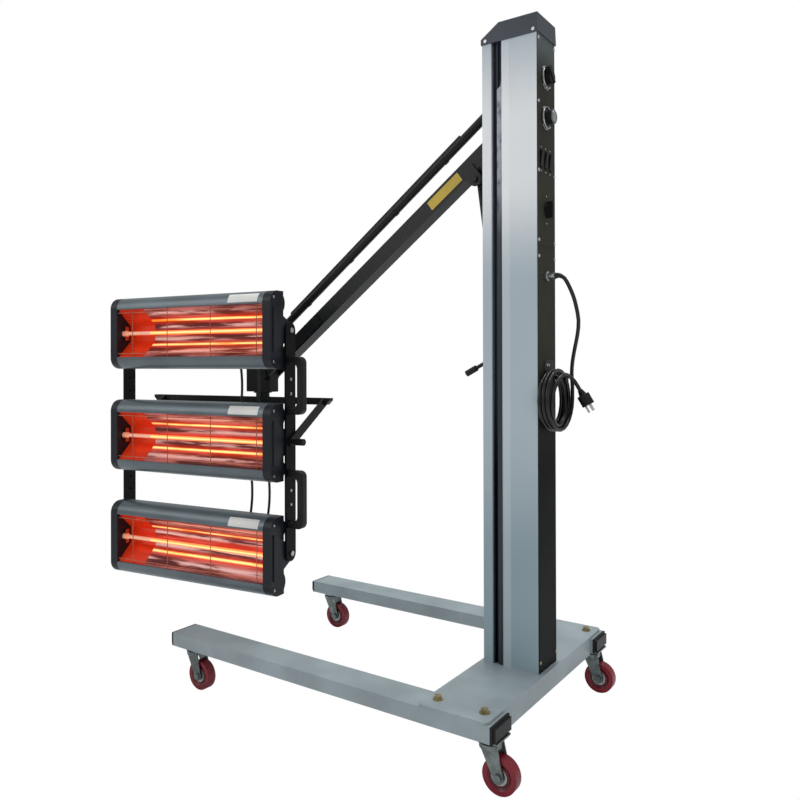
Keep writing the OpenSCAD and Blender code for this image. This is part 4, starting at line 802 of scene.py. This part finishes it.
heads = [start("cylinder", "rail_screw", (side * (rail_face + 0.6), pivot_y, mid_pivot_z + share * rail_span),
    (0, pi / 2, 0), on_head, vertices=24, radius=4 * mm, depth=1.6 * mm)
    for side in (1, -1) for share in rail_hole_shares]
rail_screws = joined("rail_screws", heads)
round_edges(rail_screws, 0.6, 3, 60)
settle(rail_screws, "head_frame", "bright_steel")
print("screws and brackets on", len(cassette_z), "cassettes")

# %% [markdown]
# The right side of the black groove is a strip that the carriage's parts have rubbed to a mottled grey. It is
# palest at the height of the controls, fades to dark below them through painted shade, and ends in a slanted edge
# near the top.

# %% Rubbed strip in the groove
strip_w, strip_t, strip_lo, strip_hi = 12.4, 3.4, 150, 1492
strip_gap, strip_depth, strip_slant = 0.4, 1.6, 9
strip_x = column_x0 + groove_inset + groove_w - strip_gap - strip_w / 2
strip_y = -column_hi[1] / mm + strip_depth + strip_t / 2
strip = start("cube", "groove_strip", (strip_x, strip_y, (strip_lo + strip_hi) / 2), size=mm,
    scale=(strip_w, strip_t, strip_hi - strip_lo))
strip_top = at(strip_x, strip_y, strip_hi)
pick(strip, lambda part: all(v.co.z > strip_top.z - mm and v.co.x < strip_top.x for v in part.verts), "EDGE")
bpy.ops.transform.translate(value=(0, 0, -strip_slant * mm))
bpy.ops.object.mode_set(mode="OBJECT")
round_edges(strip, 0.5)
strip_look = coat("rubbed_strip", (176, 181, 190), 0.4, 0.03, 1.0, 0.1, 0.0, 0.2, shine=0.3)
blotches = strip_look.noise(0.012, 4, (1, 1, 2.5)).over(0.46, 0.12)
rubbed = strip_look.blend(blotches, screen(104, 109, 120), strip_look.tone())
# Below about 1.22 m the mottle gives way to dark grey, a painted shade.
strip_look.set(Base_Color=strip_look.blend(strip_look.axis("Z").over(1.22, 0.1), screen(50, 56, 64), rubbed))
settle(strip, "base", "black_paint", strip_look)
print("strip from", strip_lo, "to", strip_hi)

# %% [markdown]
# The picture is cut out on white, with soft studio light from the left front. A large floor and a world that both
# look white to the camera stand for the paper. The world gives less light than it shows, and three big soft lamps
# light the machine at a level that leaves its colours as they are.

# %% Studio
def paper(name):
    """White to the camera, and a plain pale surface for all other light."""
    made = Finish(name)
    rays = made.tree.nodes.new("ShaderNodeLightPath").outputs
    seen = Value(made, rays["Is Camera Ray"]) + Value(made, rays["Is Transmission Ray"])
    seen = seen.over(0.5, 0.1)
    glow = made.node("ShaderNodeEmission", {}, {"Color": (1, 1, 1, 1), "Strength": 1.0})
    made.set(Base_Color=screen(235, 236, 238), Roughness=0.9)
    both = made.node("ShaderNodeMixShader", {}, {0: seen, 1: Value(made, made.shader.outputs[0]), 2: glow})
    made.give(made.tree.nodes["Material Output"].inputs["Surface"], both)
    return made


bpy.ops.object.select_all(action="DESELECT")
bpy.ops.mesh.primitive_plane_add(size=30, location=(0, 0, -0.001))
floor = bpy.context.object
floor.name = "floor"
dress(floor, paper("floor_paper"))
world = bpy.data.worlds.new("studio")
bpy.context.scene.world = world
world.use_nodes = True
sky = world.node_tree
sky_nodes = {"light": sky.nodes["Background"], "seen": sky.nodes.new("ShaderNodeBackground"),
    "ray": sky.nodes.new("ShaderNodeLightPath"), "both": sky.nodes.new("ShaderNodeMixShader")}
for name, strength in (("light", 0.42), ("seen", 1.0)):
    sky_nodes[name].inputs["Color"].default_value = (1, 1, 1, 1)
    sky_nodes[name].inputs["Strength"].default_value = strength
sky.links.new(sky_nodes["ray"].outputs["Is Camera Ray"], sky_nodes["both"].inputs[0])
sky.links.new(sky_nodes["light"].outputs[0], sky_nodes["both"].inputs[1])
sky.links.new(sky_nodes["seen"].outputs[0], sky_nodes["both"].inputs[2])
sky.links.new(sky_nodes["both"].outputs[0], sky.nodes["World Output"].inputs["Surface"])


def soft_lamp(name, place, size, power):
    """A square area lamp that faces the middle of the machine."""
    bpy.ops.object.light_add(type="AREA", location=place)
    lamp = bpy.context.object
    lamp.name = name
    lamp.data.size = size
    lamp.data.energy = power
    lamp.rotation_euler = (Vector((0, 0, 0.8)) - Vector(place)).to_track_quat("-Z", "Y").to_euler()


soft_lamp("key_lamp", (-2.4, -3.2, 2.8), 2.2, 34)
soft_lamp("fill_lamp", (3.2, -1.6, 1.8), 2.0, 9)
soft_lamp("top_lamp", (0.2, 0.6, 4.0), 2.5, 98)
bpy.context.scene.view_settings.view_transform = "Standard"
print("studio ready")

# %% Finish
bpy.context.view_layer.update()
